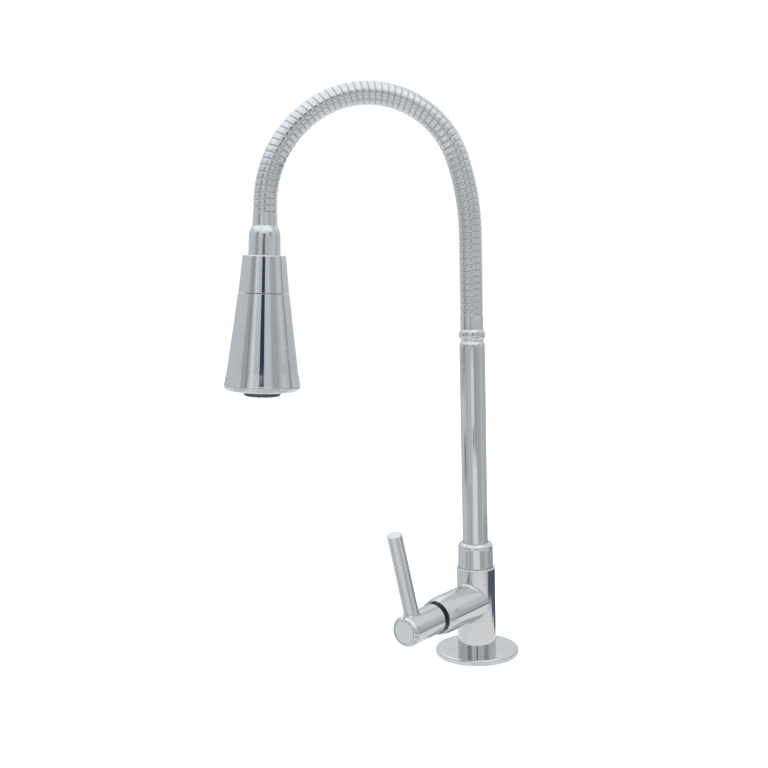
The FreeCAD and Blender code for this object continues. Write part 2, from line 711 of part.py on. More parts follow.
def hose_section(number):
    """One stretch of ribs; its neck runs in the counterbore of the stretch before it.

    The last stretch ends in a plain sleeve that is crimped into the bell.
    """
    pitch = hose_length() / RIB_COUNT
    count = RIB_COUNT // SECTION_COUNT
    first = (number - 1) * count
    wires = []
    for index in range(first, first + count):
        wires += rib_wires(index, pitch)
    solid = Part.makeLoft(wires, True, True)
    low_centre, low_axis = route((first + 0.5) * pitch)
    low_face = low_centre - low_axis * (RIB_WIDTH / 2)
    reach = pitch - RIB_WIDTH + NECK_REACH
    neck = Part.makeCylinder(NECK_R, reach + 0.5, low_face - low_axis * reach, low_axis)
    solid = solid.fuse(neck)
    top_centre, top_axis = route((first + count - 0.5) * pitch)
    top_face = top_centre + top_axis * (RIB_WIDTH / 2)
    beyond = 1.0
    if number == SECTION_COUNT:
        beyond = (pitch - RIB_WIDTH) / 2 + SLEEVE_LENGTH
        solid = solid.fuse(Part.makeCylinder(SLEEVE_R, beyond + 0.5, top_face - top_axis * 0.5, top_axis))
    bore = [circle_wire(low_face - low_axis * (reach + 1), low_axis, HOSE_BORE_R)]
    for index in range(first, first + count):
        centre, axis = route((index + 0.5) * pitch)
        bore.append(circle_wire(centre, axis, HOSE_BORE_R))
    bore.append(circle_wire(top_face + top_axis * (beyond + 1), top_axis, HOSE_BORE_R))
    solid = solid.cut(Part.makeLoft(bore, True, True))
    if number < SECTION_COUNT:
        pocket = Part.makeCylinder(COUNTERBORE_R, COUNTERBORE_DEPTH + 1,
                                   top_face - top_axis * COUNTERBORE_DEPTH, top_axis)
        solid = solid.cut(pocket)
    return solid


def inner_tube():
    """Soft tube that carries the water through the ribs, from one barb to the other."""
    return tube_along(TUBE_R).cut(tube_along(TUBE_BORE_R, 1.0))


def tube_along(radius, extra=0.0):
    """Round bar that follows the spout's centre line and runs on into both end pieces."""
    start = BEAD_TOP + TIP_NOSE_H + TUBE_END_GAP - extra
    straight_end = HOSE_START_Z + STRAIGHT_RUN
    solid = Part.makeCylinder(radius, straight_end - start, Vector(0, 0, start))
    travelled = STRAIGHT_RUN
    for arc_radius, degrees in zip(ARC_RADII, ARC_DEGREES):
        point, heading = route(travelled)
        centre = point + Vector(1, 0, 0).cross(heading) * arc_radius
        face = Part.Face(circle_wire(point, heading, radius))
        solid = solid.fuse(face.revolve(centre, Vector(1, 0, 0), degrees))
        travelled += arc_radius * math.radians(degrees)
    point, heading = route(travelled)
    end = Part.makeCylinder(radius, END_RUN + TUBE_INTO_BELL + extra, point, heading)
    return solid.fuse(end).removeSplitter()


# Bell and ball joint, on the axis that leaves the end of the spout

def on_head(outline):
    point, heading = route(hose_length())
    return turned(outline, point, heading)


def hose_bell():
    crimp_r = SLEEVE_R + SLEEVE_FIT
    return on_head([
        (crimp_r, 0), (BELL_RIM_R - 0.25, 0), (BELL_RIM_R, 0.25), (BELL_NECK_R, BELL_NECK_END - 0.6),
        (BELL_NECK_R + 0.28, BELL_NECK_END + 0.5, BELL_NECK_R + 1.0, BELL_NECK_END + 1.6),
        (BELL_R - 0.45, BELL_NECK_END + 4.2, BELL_R, BELL_SHOULDER_END),
        (BELL_BOTTOM_R, BELL_END - 1.0), (BELL_BOTTOM_R - 0.7, BELL_END), (BELL_THREAD_R, BELL_END),
        (BELL_THREAD_R, BELL_THREAD_START), (BELL_BORE_R, BELL_THREAD_START),
        (BELL_BORE_R, SLEEVE_LENGTH + SLEEVE_FIT), (crimp_r, SLEEVE_LENGTH + SLEEVE_FIT)])


def swivel_ball():
    """Turned piece: hose barb, thread in the bell, stem and drilled ball."""
    stem_meets = BALL_AT - math.sqrt(BALL_R ** 2 - BALL_STEM_R ** 2)
    flat_r = round_at(BALL_R, BALL_FLAT)
    barb_tip = TUBE_INTO_BELL - BARB_LENGTH + 4.0
    return on_head([
        (BALL_WATERWAY_R, barb_tip), (BARB_R - 0.5, barb_tip), (BARB_R, barb_tip + 0.5),
        (BARB_R, TUBE_INTO_BELL), (BARB_R + 0.6, TUBE_INTO_BELL), (BARB_R + 0.6, BELL_THREAD_START),
        (BELL_THREAD_R, BELL_THREAD_START),
        (BELL_THREAD_R, BELL_END - 0.6), (BALL_STEM_R, BELL_END - 0.6), (BALL_STEM_R, stem_meets),
        (BALL_R, BALL_AT, flat_r, BALL_FLAT), (BALL_WATERWAY_R + 1.0, BALL_FLAT),
        (BALL_WATERWAY_R, BALL_FLAT - 1.0)])


def socket_cap():
    """Upper half of the ball socket, with half of the flange that the head is hung on."""
    cavity = BALL_R + RUNNING_FIT
    lip = SOCKET_TOP + 0.7
    open_r = round_at(cavity, lip)
    mid = math.asin((BALL_AT - lip) / cavity) / 2
    return on_head([
        (open_r + 0.5, SOCKET_TOP), (SOCKET_R - 0.5, SOCKET_TOP), (SOCKET_R, SOCKET_TOP + 0.5),
        (SOCKET_R, SOCKET_FLANGE_TOP), (SOCKET_FLANGE_R, SOCKET_FLANGE_TOP), (SOCKET_FLANGE_R, BALL_AT),
        (cavity, BALL_AT), (cavity * math.cos(mid), BALL_AT - cavity * math.sin(mid), open_r, lip)])


def socket_cup():
    """Lower half of the ball socket, with the pocket for its seal."""
    cavity = BALL_R + RUNNING_FIT
    mid = math.asin((BALL_SEAL_TOP - BALL_AT) / cavity) / 2
    return on_head([
        (cavity, BALL_AT), (SOCKET_FLANGE_R, BALL_AT), (SOCKET_FLANGE_R, SOCKET_FLANGE_BOTTOM),
        (SOCKET_R, SOCKET_FLANGE_BOTTOM), (SOCKET_R, SOCKET_BOTTOM - 0.4), (SOCKET_R - 0.4, SOCKET_BOTTOM),
        (SOCKET_OUTLET_R, SOCKET_BOTTOM), (SOCKET_OUTLET_R, SOCKET_FLOOR_AT),
        (BALL_SEAL_BORE_R, SOCKET_FLOOR_AT), (BALL_SEAL_BORE_R, BALL_SEAL_BOTTOM),
        (BALL_SEAL_R, BALL_SEAL_BOTTOM), (BALL_SEAL_R, BALL_SEAL_TOP),
        (round_at(cavity, BALL_SEAL_TOP), BALL_SEAL_TOP),
        (cavity * math.cos(mid), BALL_AT + cavity * math.sin(mid), cavity, BALL_AT)])


def round_at(radius, at):
    """Radius of a sphere round the ball's centre, where a level down the axis cuts it."""
    return math.sqrt(radius ** 2 - (at - BALL_AT) ** 2)


def swivel_seal():
    """Ring that hugs the ball's round side, clear of its drilled flat at every tilt."""
    cavity = BALL_R + RUNNING_FIT
    meets = BALL_AT + math.sqrt(cavity ** 2 - BALL_SEAL_BORE_R ** 2)
    mid = (BALL_SEAL_TOP + meets) / 2
    return on_head([
        (round_at(cavity, BALL_SEAL_TOP), BALL_SEAL_TOP), (BALL_SEAL_R, BALL_SEAL_TOP),
        (BALL_SEAL_R, BALL_SEAL_BOTTOM), (BALL_SEAL_BORE_R, BALL_SEAL_BOTTOM), (BALL_SEAL_BORE_R, meets),
        (round_at(cavity, mid), mid, round_at(cavity, BALL_SEAL_TOP), BALL_SEAL_TOP)])


# Spray head

def head_upper_cone():
    return on_head([
        (HEAD_OPENING_R, HEAD_TOP + 0.4), (HEAD_OPENING_R + 0.4, HEAD_TOP),
        (HEAD_TOP_R - HEAD_TOP_ROUND, HEAD_TOP),
        (HEAD_TOP_R - 0.36 * HEAD_TOP_ROUND, HEAD_TOP + 0.3 * HEAD_TOP_ROUND,
         HEAD_TOP_R, HEAD_TOP + HEAD_TOP_ROUND + 0.2),
        (UPPER_CONE_END_R - 0.04, SEAM_AT - 0.4), (UPPER_CONE_END_R - 0.4, SEAM_AT),
        (CORE_THREAD_R, SEAM_AT), (CORE_THREAD_R, LEDGE_BOTTOM), (LEDGE_R, LEDGE_BOTTOM),
        (LEDGE_R, LEDGE_TOP), (HEAD_OPENING_R, LEDGE_TOP)])


def head_core():
    """Plastic core screwed into the upper cone; it carries the socket and the lower cone."""
    clip = WEB_BOTTOM + AXIAL_PLAY
    return on_head([
        (SOCKET_OUTLET_R, CORE_CUP_FLOOR), (SOCKET_R + AXIAL_PLAY, CORE_CUP_FLOOR),
        (SOCKET_R + AXIAL_PLAY, CORE_TOP), (CORE_THREAD_R, CORE_TOP), (CORE_THREAD_R, SEAM_AT - 0.2),
        (CORE_R, SEAM_AT - 0.2), (CORE_R, clip), (CLIP_GROOVE_R, clip), (CLIP_GROOVE_R, clip + CLIP_H),
        (CORE_R, clip + CLIP_H), (CORE_R, CORE_END), (CORE_BORE_R, CORE_END),
        (CORE_BORE_R, CORE_BORE_START), (SOCKET_OUTLET_R + 1.5, CORE_BORE_START - 4.0)])


def strainer():
    face = CORE_BORE_START + STRAINER_SINK
    back = face + STRAINER_SHEET
    end = CORE_BORE_START + STRAINER_H
    disc = on_head([
        (0, face), (STRAINER_FLAT_R, face), (CORE_BORE_R, back + 0.2), (CORE_BORE_R, end),
        (CORE_BORE_R - 0.6, end), (STRAINER_FLAT_R - 0.2, back), (0, back)])
    rows = zip(STRAINER_CIRCLES, STRAINER_HOLE_COUNTS)
    return drilled(disc, rows, STRAINER_HOLE_R, CORE_BORE_START - 1, STRAINER_H + 2)


def drilled(solid, rows, hole_r, start, depth):
    """Rings of small holes through a solid on the head's axis; each row is a radius and a count."""
    point, heading = route(hose_length())
    for radius, count in rows:
        for k in range(count):
            angle = 2 * math.pi * (k + 0.5) / count
            foot = Vector(radius * math.cos(angle), radius * math.sin(angle), start)
            hole = Part.makeCylinder(hole_r, depth, foot)
            solid = solid.cut(along(hole, point, heading))
    return solid


def jet_ring_clip():
    low = WEB_BOTTOM + AXIAL_PLAY
    return on_head(ring(CLIP_GROOVE_R, CLIP_R, low, low + CLIP_H))


def cone_edge(at):
    """Outside radius of the lower cone's upper part at a distance down the axis."""
    share = (at - SEAM_AT - SEAM_GAP) / (LOWER_CONE_MID_AT - SEAM_AT - SEAM_GAP)
    return LOWER_CONE_START_R + share * (LOWER_CONE_MID_R - LOWER_CONE_START_R)


def head_lower_cone():
    top = SEAM_AT + SEAM_GAP
    flare_mid = (LOWER_CONE_MID_AT + LOWER_CONE_WIDEST) / 2
    bearing_r = CORE_R + AXIAL_PLAY
    flare_r = (LOWER_CONE_MID_R + LOWER_CONE_R) / 2 - FLARE_HOLLOW
    return on_head([
        (bearing_r, top), (LOWER_CONE_START_R - 0.4, top), (LOWER_CONE_START_R + 0.04, top + 0.4),
        (LOWER_CONE_MID_R, LOWER_CONE_MID_AT),
        (flare_r, flare_mid, LOWER_CONE_R - 0.25, LOWER_CONE_WIDEST - 1.6),
        (LOWER_CONE_R, LOWER_CONE_WIDEST, LOWER_CONE_R - 0.55, LOWER_CONE_WIDEST + 1.5),
        (LOWER_CONE_LIP_R + 1.5, LOWER_CONE_END - 0.75, LOWER_CONE_LIP_R, LOWER_CONE_END),
        (SPRAY_PLATE_R, LOWER_CONE_END), (SPRAY_PLATE_R, PLATE_TOP), (PLATE_SEAT_R, PLATE_TOP),
        (PLATE_SEAT_R, PLATE_TOP - PLATE_SEAT_H), (LOWER_CONE_MID_R - CONE_WALL, LOWER_CONE_MID_AT),
        (cone_edge(WEB_BOTTOM) - CONE_WALL, WEB_BOTTOM), (bearing_r, WEB_BOTTOM), (bearing_r, WEB_TOP),
        (cone_edge(WEB_TOP) - CONE_WALL, WEB_TOP), (cone_edge(BEARING_END) - CONE_WALL, BEARING_END),
        (bearing_r, BEARING_END)])


def spray_plate():
    """Grey plate with a spigot in the core; the jets are chosen by turning it."""
    groove_r = SPRAY_SPIGOT_R - SPRAY_GROOVE_DEPTH
    groove_top = SPRAY_O_RING_AT - SPRAY_GROOVE_W / 2
    groove_end = SPRAY_O_RING_AT + SPRAY_GROOVE_W / 2
    plate_end = PLATE_TOP + SPRAY_PLATE_H
    plate = on_head([
        (SPRAY_BORE_R, SPRAY_SPIGOT_TOP), (SPRAY_SPIGOT_R, SPRAY_SPIGOT_TOP), (SPRAY_SPIGOT_R, groove_top),
        (groove_r, groove_top), (groove_r, groove_end), (SPRAY_SPIGOT_R, groove_end),
        (SPRAY_SPIGOT_R, PLATE_TOP), (SPRAY_PLATE_R, PLATE_TOP), (SPRAY_PLATE_R, plate_end),
        (AERATOR_R, plate_end), (AERATOR_R, PLATE_TOP + 3.0), (SPRAY_BORE_R, PLATE_TOP + 1.5)])
    rows = zip(SPRAY_PORT_CIRCLES, SPRAY_PORT_COUNTS)
    return drilled(plate, rows, SPRAY_PORT_R, PLATE_TOP - 1, SPRAY_PLATE_H + 2)


def spray_o_ring():
    centre_r = SPRAY_SPIGOT_R - SPRAY_GROOVE_DEPTH + SPRAY_O_RING_R
    point, heading = route(hose_length())
    torus = Part.makeTorus(centre_r, SPRAY_O_RING_R, Vector(0, 0, SPRAY_O_RING_AT))
    return along(torus, point, heading)


def spray_face():
    """Dark rubber face with its flange behind the face ring, and two rows of small nozzles."""
    top = PLATE_TOP + SPRAY_PLATE_H
    bore_r = AERATOR_R + AERATOR_PLAY
    face = on_head([
        (bore_r, top), (FACE_FLANGE_R, top), (FACE_FLANGE_R, FACE_RING_TOP), (FACE_R, FACE_RING_TOP),
        (FACE_R, FACE_END - FACE_ROUND),
        (FACE_R - 0.3 * FACE_ROUND, FACE_END - 0.3 * FACE_ROUND, FACE_R - FACE_ROUND, FACE_END),
        (bore_r, FACE_END)])
    rows = zip(NOZZLE_CIRCLES, NOZZLE_COUNTS)
    return drilled(face, rows, NOZZLE_R, top - 1, FACE_END - top + 2)


def face_ring():
    return on_head([
        (FACE_RING_BORE_R, FACE_RING_TOP), (SPRAY_PLATE_R, FACE_RING_TOP), (SPRAY_PLATE_R, LOWER_CONE_END),
        (FACE_RING_BORE_R + 0.6, LOWER_CONE_END), (FACE_RING_BORE_R, LOWER_CONE_END - 0.6)])


def stream_aerator():
    low = PLATE_TOP + 3.5
    inner_r = AERATOR_R - AERATOR_WALL
    sieve = FACE_END - 3.2
    cup = on_head([
        (0, sieve + 1.0), (inner_r, sieve + 1.0), (inner_r, FACE_END - 0.6),
        (AERATOR_R - 0.4, FACE_END - 0.6), (AERATOR_R, FACE_END - 1.0), (AERATOR_R, low),
        (inner_r, low), (inner_r, sieve), (0, sieve)])
    rows = zip(AERATOR_CIRCLES, AERATOR_HOLE_COUNTS)
    return drilled(cup, rows, AERATOR_HOLE_R, sieve - 0.8, 4.0)


def save(name, shape):
    if not shape.isValid():
        raise ValueError(name + " isn't a valid shape")
    shape.exportStep("parts/" + name + ".step")


os.makedirs("parts", exist_ok=True)
fixed_disc, turning_disc = disc_levels()[:2]
pieces = {
    "base_plate": base_plate(),
    "base_gasket": base_gasket(),
    "inlet_shank": inlet_shank(),
    "deck_seal": deck_seal(),
    "clamp_washer": clamp_washer(),
    "backnut": backnut(),
    "tap_body": tap_body(),
    "seat_seal": seat_seal(),
    "fixed_ceramic_disc": ceramic_disc(fixed_disc, 1),
    "turning_ceramic_disc": ceramic_disc(turning_disc, -1),
    "valve_housing": valve_housing(),
    "valve_o_ring": valve_o_ring(),
    "valve_spindle": valve_spindle(),
    "spindle_clip": spindle_clip(),
    "handle": handle(),
    "handle_screw": handle_screw(),
    "hub_cap": hub_cap(),
    "slip_washer": slip_washer(),
    "swivel_bush": swivel_bush(),
    "swivel_collar": swivel_collar(),
    "riser_tube": riser_tube(),
    "riser_o_rings": riser_o_rings(),
    "riser_tip": riser_tip(),
    "hose_ferrule": hose_ferrule(),
    "inner_tube": inner_tube(),
    "hose_bell": hose_bell(),
    "swivel_ball": swivel_ball(),
    "socket_cap": socket_cap(),
    "socket_cup": socket_cup(),
    "swivel_seal": swivel_seal(),
    "head_upper_cone": head_upper_cone(),
    "head_core": head_core(),
    "strainer": strainer(),
    "jet_ring_clip": jet_ring_clip(),
    "head_lower_cone": head_lower_cone(),
    "spray_plate": spray_plate(),
    "spray_o_ring": spray_o_ring(),
    "spray_face": spray_face(),
    "face_ring": face_ring(),
    "stream_aerator": stream_aerator(),
}
for count in range(1, SECTION_COUNT + 1):
    pieces["hose_section_%02d" % count] = hose_section(count)
for name, shape in pieces.items():
    save(name, shape)
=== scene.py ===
"""Looks of a kitchen tap with a bendable ribbed spout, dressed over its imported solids.

Sizes are in millimetres in the row frame: origin on the worktop, +Z up, spout along -Y.
They become metres where a mesh is made.
"""

from __future__ import annotations

import logging
import math
from collections.abc import Callable, Iterable, Sequence
from dataclasses import dataclass, field
from enum import Enum

import bmesh
import bpy
from mathutils import Matrix, Vector

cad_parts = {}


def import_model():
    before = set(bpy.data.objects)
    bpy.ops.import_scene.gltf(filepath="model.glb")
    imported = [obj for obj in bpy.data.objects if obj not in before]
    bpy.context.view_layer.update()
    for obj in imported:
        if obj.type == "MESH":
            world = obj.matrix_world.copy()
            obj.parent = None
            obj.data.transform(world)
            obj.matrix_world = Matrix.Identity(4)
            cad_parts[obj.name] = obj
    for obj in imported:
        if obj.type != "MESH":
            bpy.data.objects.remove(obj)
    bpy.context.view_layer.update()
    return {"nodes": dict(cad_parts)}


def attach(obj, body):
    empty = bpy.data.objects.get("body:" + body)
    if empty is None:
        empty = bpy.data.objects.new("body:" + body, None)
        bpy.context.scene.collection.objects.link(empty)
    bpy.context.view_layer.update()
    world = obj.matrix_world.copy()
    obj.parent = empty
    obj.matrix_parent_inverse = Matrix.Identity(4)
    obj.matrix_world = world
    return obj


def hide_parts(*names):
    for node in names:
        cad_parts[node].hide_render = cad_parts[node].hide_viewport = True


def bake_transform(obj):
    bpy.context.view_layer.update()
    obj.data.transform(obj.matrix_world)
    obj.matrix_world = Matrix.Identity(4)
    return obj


LOG = logging.getLogger("kitchen_tap")
MM = 0.001

# Flats in a full turn.
FINE_TURN = 144
PLAIN_TURN = 72

# Longest step of an arc, how near to its ends a long run gets an edge loop, and from what angle an edge
# is shaded sharp.
ARC_STEP_DEG = 11.0
SUPPORT_LOOP = 0.22
LONG_RUN = 1.2
SHARP_DEG = 38.0

# Half the angle from which a corner counts as straight, and the share of a neighbouring run that a
# rounding may take.
STRAIGHT_DEG = 89.0
ROOM_SHARE = 0.48

# Radius below which a point lies on the axis, and sine below which two directions count as parallel.
ON_AXIS = 1e-6
NEARLY_PARALLEL = 0.1

# Radius and distance along the axis; a point on an arc and the arc's end; red, green and blue.
Point = tuple[float, float]
Arc = tuple[float, float, float, float]
Colour = tuple[float, float, float]


# Outlines and turned meshes


class Outline:
    """Line that a turned piece is made from, as (radius, distance along the axis) in millimetres."""

    def __init__(self, radius: float, at: float, rounding: float = 0.0) -> None:
        """Start at a corner: its radius, its place along the axis and how far it is rounded."""
        self._corners: list[tuple[float, float, float]] = [(radius, at, rounding)]

    def to(self, radius: float, at: float, rounding: float = 0.0) -> Outline:
        """Go straight to a corner, which may be rounded."""
        self._corners.append((radius, at, rounding))
        return self

    def bow(self, *arcs: Arc) -> Outline:
        """Follow arcs one after the other.

        Args:
            arcs: Radius and distance along the axis of a point on the arc, then of the arc's end.

        Returns:
            The same outline, so that calls can be chained.
        """
        for arc in arcs:
            start, middle, end = Vector(self._corners[-1][:2]), Vector(arc[:2]), Vector(arc[2:])
            self._corners += [(p.x, p.y, 0.0) for p in arc_points(start, middle, end)]
        return self

    def points(self) -> tuple[list[Point], bool]:
        """Work out the final outline.

        Returns:
            The points, and whether the outline is a closed loop that stays off the axis.
        """
        closed = all(corner[0] > ON_AXIS for corner in self._corners)
        count = len(self._corners)
        made: list[Point] = []
        for index, corner in enumerate(self._corners):
            inner = closed or 0 < index < count - 1
            before = self._corners[index - 1]
            after = self._corners[(index + 1) % count]
            made += fillet(before, corner, after) if inner and corner[2] > 0 else [corner[:2]]
        return supported(made, closed), closed


def arc_points(start: Vector, middle: Vector, end: Vector) -> list[Vector]:
    """Points on the arc through three points.

    Args:
        start: Start of the arc.
        middle: Point that the arc passes through.
        end: End of the arc.

    Returns:
        Evenly spaced points after the start, up to and with the end.
    """
    a, b = middle - start, end - start
    cross = 2.0 * (a.x * b.y - a.y * b.x)
    centre = start + Vector((b.y * a.length_squared - a.y * b.length_squared,
                             a.x * b.length_squared - b.x * a.length_squared)) / cross
    first = math.atan2(start.y - centre.y, start.x - centre.x)
    sweep = math.atan2(end.y - centre.y, end.x - centre.x) - first
    sweep = sweep % math.tau if cross > 0 else sweep % math.tau - math.tau
    steps = max(2, math.ceil(abs(math.degrees(sweep)) / ARC_STEP_DEG) + 1)
    radius = (start - centre).length
    angles = [first + sweep * k / steps for k in range(1, steps + 1)]
    return [centre + radius * Vector((math.cos(angle), math.sin(angle))) for angle in angles]


def fillet(before: Sequence[float], corner: Sequence[float], after: Sequence[float]) -> list[Point]:
    """Arc that rounds one corner, no longer than its neighbours leave room for.

    Args:
        before: Previous corner.
        corner: Corner to round, with its rounding as the third number.
        after: Next corner.

    Returns:
        Points of the arc, or the corner itself where the outline runs straight through.
    """
    here = Vector(corner[:2])
    back, ahead = Vector(before[:2]) - here, Vector(after[:2]) - here
    half = back.angle(ahead) / 2.0
    if half > math.radians(STRAIGHT_DEG):
        return [(here.x, here.y)]
    reach = min(corner[2] / math.tan(half), ROOM_SHARE * back.length, ROOM_SHARE * ahead.length)
    radius = reach * math.tan(half)
    start, end = here + back.normalized() * reach, here + ahead.normalized() * reach
    middle_way = (back.normalized() + ahead.normalized()).normalized()
    middle = here + middle_way * (radius / math.sin(half) - radius)
    return [(start.x, start.y)] + [(p.x, p.y) for p in arc_points(start, middle, end)]


def supported(points: list[Point], closed: bool) -> list[Point]:
    """Add an edge loop near both ends of each long straight run, which keeps its shading even.

    Args:
        points: Points of the outline.
        closed: Whether the last point joins the first one.

    Returns:
        The points with those that were added.
    """
    made: list[Point] = []
    pairs = zip(points, points[1:] + points[:1] if closed else points[1:])
    for near, far in pairs:
        a, b = Vector(near), Vector(far)
        made.append(near)
        length = (b - a).length
        if length > LONG_RUN:
            step = (b - a) * (SUPPORT_LOOP / length)
            made += [tuple(a + step), tuple(b - step)]
    if not closed:
        made.append(points[-1])
    return made


@dataclass(frozen=True)
class Axis:
    """Axis that pieces are turned on: a point in millimetres and a direction."""

    origin: Vector
    along: Vector

    def place(self, across: float, turn: float, at: float) -> Vector:
        """Row-frame point in metres for a radius, a turn about the axis and a distance along it.

        Args:
            across: Distance from the axis in millimetres.
            turn: Turn about the axis in radians.
            at: Distance along the axis in millimetres.

        Returns:
            The point in metres.
        """
        side, other = self.sides()
        return (self.origin + self.along * at + side * (across * math.cos(turn))
                + other * (across * math.sin(turn))) * MM

    def ring(self, across: float, at: float, count: int) -> list[Vector]:
        """Points evenly round the axis, in metres."""
        return [self.place(across, math.tau * k / count, at) for k in range(count)]

    def sides(self) -> tuple[Vector, Vector]:
        """Two directions square to the axis.

        Returns:
            Both directions, the first one as near to X as it can be.
        """
        other = self.along.cross(Vector((1.0, 0.0, 0.0)))
        if other.length < NEARLY_PARALLEL:
            other = self.along.cross(Vector((0.0, 0.0, 1.0)))
        other.normalize()
        return other.cross(self.along).normalized(), other


UPRIGHT = Axis(Vector((0.0, 0.0, 0.0)), Vector((0.0, 0.0, 1.0)))


def ring_faces(rings: int, width: int, closed: bool) -> list[list[int]]:
    """Faces between rings of points that follow each other.

    Args:
        rings: Number of rings.
        width: Points in each ring.
        closed: Whether the last ring joins the first one again.

    Returns:
        Point numbers of each face.
    """
    faces: list[list[int]] = []
    for low in range(rings if closed else rings - 1):
        high = (low + 1) % rings
        for k in range(width):
            n = (k + 1) % width
            faces.append([low * width + k, low * width + n, high * width + n, high * width + k])
    return faces


def mesh_object(name: str, points: Iterable[Vector], faces: Iterable[Sequence[int]],
                finish: bpy.types.Material) -> bpy.types.Object:
    """Make a smooth-shaded object with outward faces.

    Args:
        name: Name of the piece.
        points: Vertices in metres.
        faces: Vertex numbers of each face.
        finish: Material of the piece.

    Returns:
        The new object, linked to the scene.
    """
    mesh = bpy.data.meshes.new(name)
    mesh.from_pydata([tuple(p) for p in points], [], [tuple(f) for f in faces])
    work = bmesh.new()
    work.from_mesh(mesh)
    bmesh.ops.recalc_face_normals(work, faces=work.faces)
    work.to_mesh(mesh)
    work.free()
    mesh.polygons.foreach_set("use_smooth", [True] * len(mesh.polygons))
    mesh.set_sharp_from_angle(angle=math.radians(SHARP_DEG))
    mesh.materials.append(finish)
    piece = bpy.data.objects.new(name, mesh)
    bpy.context.scene.collection.objects.link(piece)
    return piece


def turned(name: str, outline: Outline, axis: Axis, finish: bpy.types.Material,
           segments: int = FINE_TURN) -> bpy.types.Object:
    """Turn an outline into a closed piece.

    Args:
        name: Name of the piece.
        outline: Outline of one side of the piece.
        axis: Axis to turn about.
        finish: Material of the piece.
        segments: Number of flats in a full turn.

    Returns:
        The new object.
    """
    profile, closed = outline.points()
    points: list[Vector] = []
    loops: list[list[int]] = []
    for across, at in profile:
        copies = 1 if across < ON_AXIS else segments
        start = len(points)
        points += axis.ring(across, at, segments)[:copies]
        loops.append([start + (k if copies > 1 else 0) for k in range(segments)])
    faces: list[list[int]] = []
    pairs = zip(loops, loops[1:] + loops[:1] if closed else loops[1:])
    for low, high in pairs:
        for k in range(segments):
            n = (k + 1) % segments
            faces.append(list(dict.fromkeys((low[k], low[n], high[n], high[k]))))
    return mesh_object(name, points, faces, finish)


def joined(name: str, pieces: Sequence[bpy.types.Object]) -> bpy.types.Object:
    """Join pieces that share one body and one finish into the first of them.

    Args:
        name: Name of the joined piece.
        pieces: Pieces to join.

    Returns:
        The joined piece.
    """
    work = bmesh.new()
    for piece in pieces:
        work.from_mesh(piece.data)
    work.to_mesh(pieces[0].data)
    work.free()
    for piece in pieces[1:]:
        bpy.data.objects.remove(piece)
    pieces[0].name = name
    return pieces[0]


# Material nodes


class Channel:
    """A value running through a material's nodes, with plain arithmetic on it."""

    def __init__(self, recipe: Recipe, socket: bpy.types.NodeSocket) -> None:
        """Wrap an output socket of a recipe's node."""
        self.recipe = recipe
        self.socket = socket

    def _math(self, operation: str, *values: float | Channel) -> Channel:
        """Run one Math node over the values."""
        node = self.recipe.node("ShaderNodeMath", {"operation": operation}, dict(enumerate(values)))
        return self.recipe.channel(node)

    def __add__(self, other: float | Channel) -> Channel:
        """Sum."""
        return self._math("ADD", self, other)

    def __radd__(self, other: float) -> Channel:
        """Sum with a number on the left."""
        return self._math("ADD", other, self)

    def __sub__(self, other: float | Channel) -> Channel:
        """Difference."""
        return self._math("SUBTRACT", self, other)

    def __rsub__(self, other: float) -> Channel:
        """Difference with a number on the left."""
        return self._math("SUBTRACT", other, self)

    def __mul__(self, other: float | Channel) -> Channel:
        """Product."""
        return self._math("MULTIPLY", self, other)

    def __rmul__(self, other: float) -> Channel:
        """Product with a number on the left."""
        return self._math("MULTIPLY", other, self)

    def arcsine(self) -> Channel:
        """Angle in radians whose sine this is."""
        return self._math("ARCSINE", self)

    def size(self) -> Channel:
        """Absolute value."""
        return self._math("ABSOLUTE", self)

    def direction_to(self, other: Channel) -> Channel:
        """Angle in radians of the point (other, self)."""
        return self._math("ARCTAN2", self, other)

    def wrapped(self, high: float, low: float) -> Channel:
        """The value folded into a repeating range."""
        return self._math("WRAP", self, high, low)

    def ramp(self, start: float, end: float, first: float = 0.0, last: float = 1.0) -> Channel:
        """Smooth change from one value to another.

        Args:
            start: Input where the change starts.
            end: Input where the change ends.
            first: Output up to the start.
            last: Output after the end.

        Returns:
            The changed value.
        """
        settings = {"interpolation_type": "SMOOTHSTEP"}
        inputs = {"Value": self, "From Min": start, "From Max": end, "To Min": first, "To Max": last}
        return self.recipe.channel(self.recipe.node("ShaderNodeMapRange", settings, inputs))


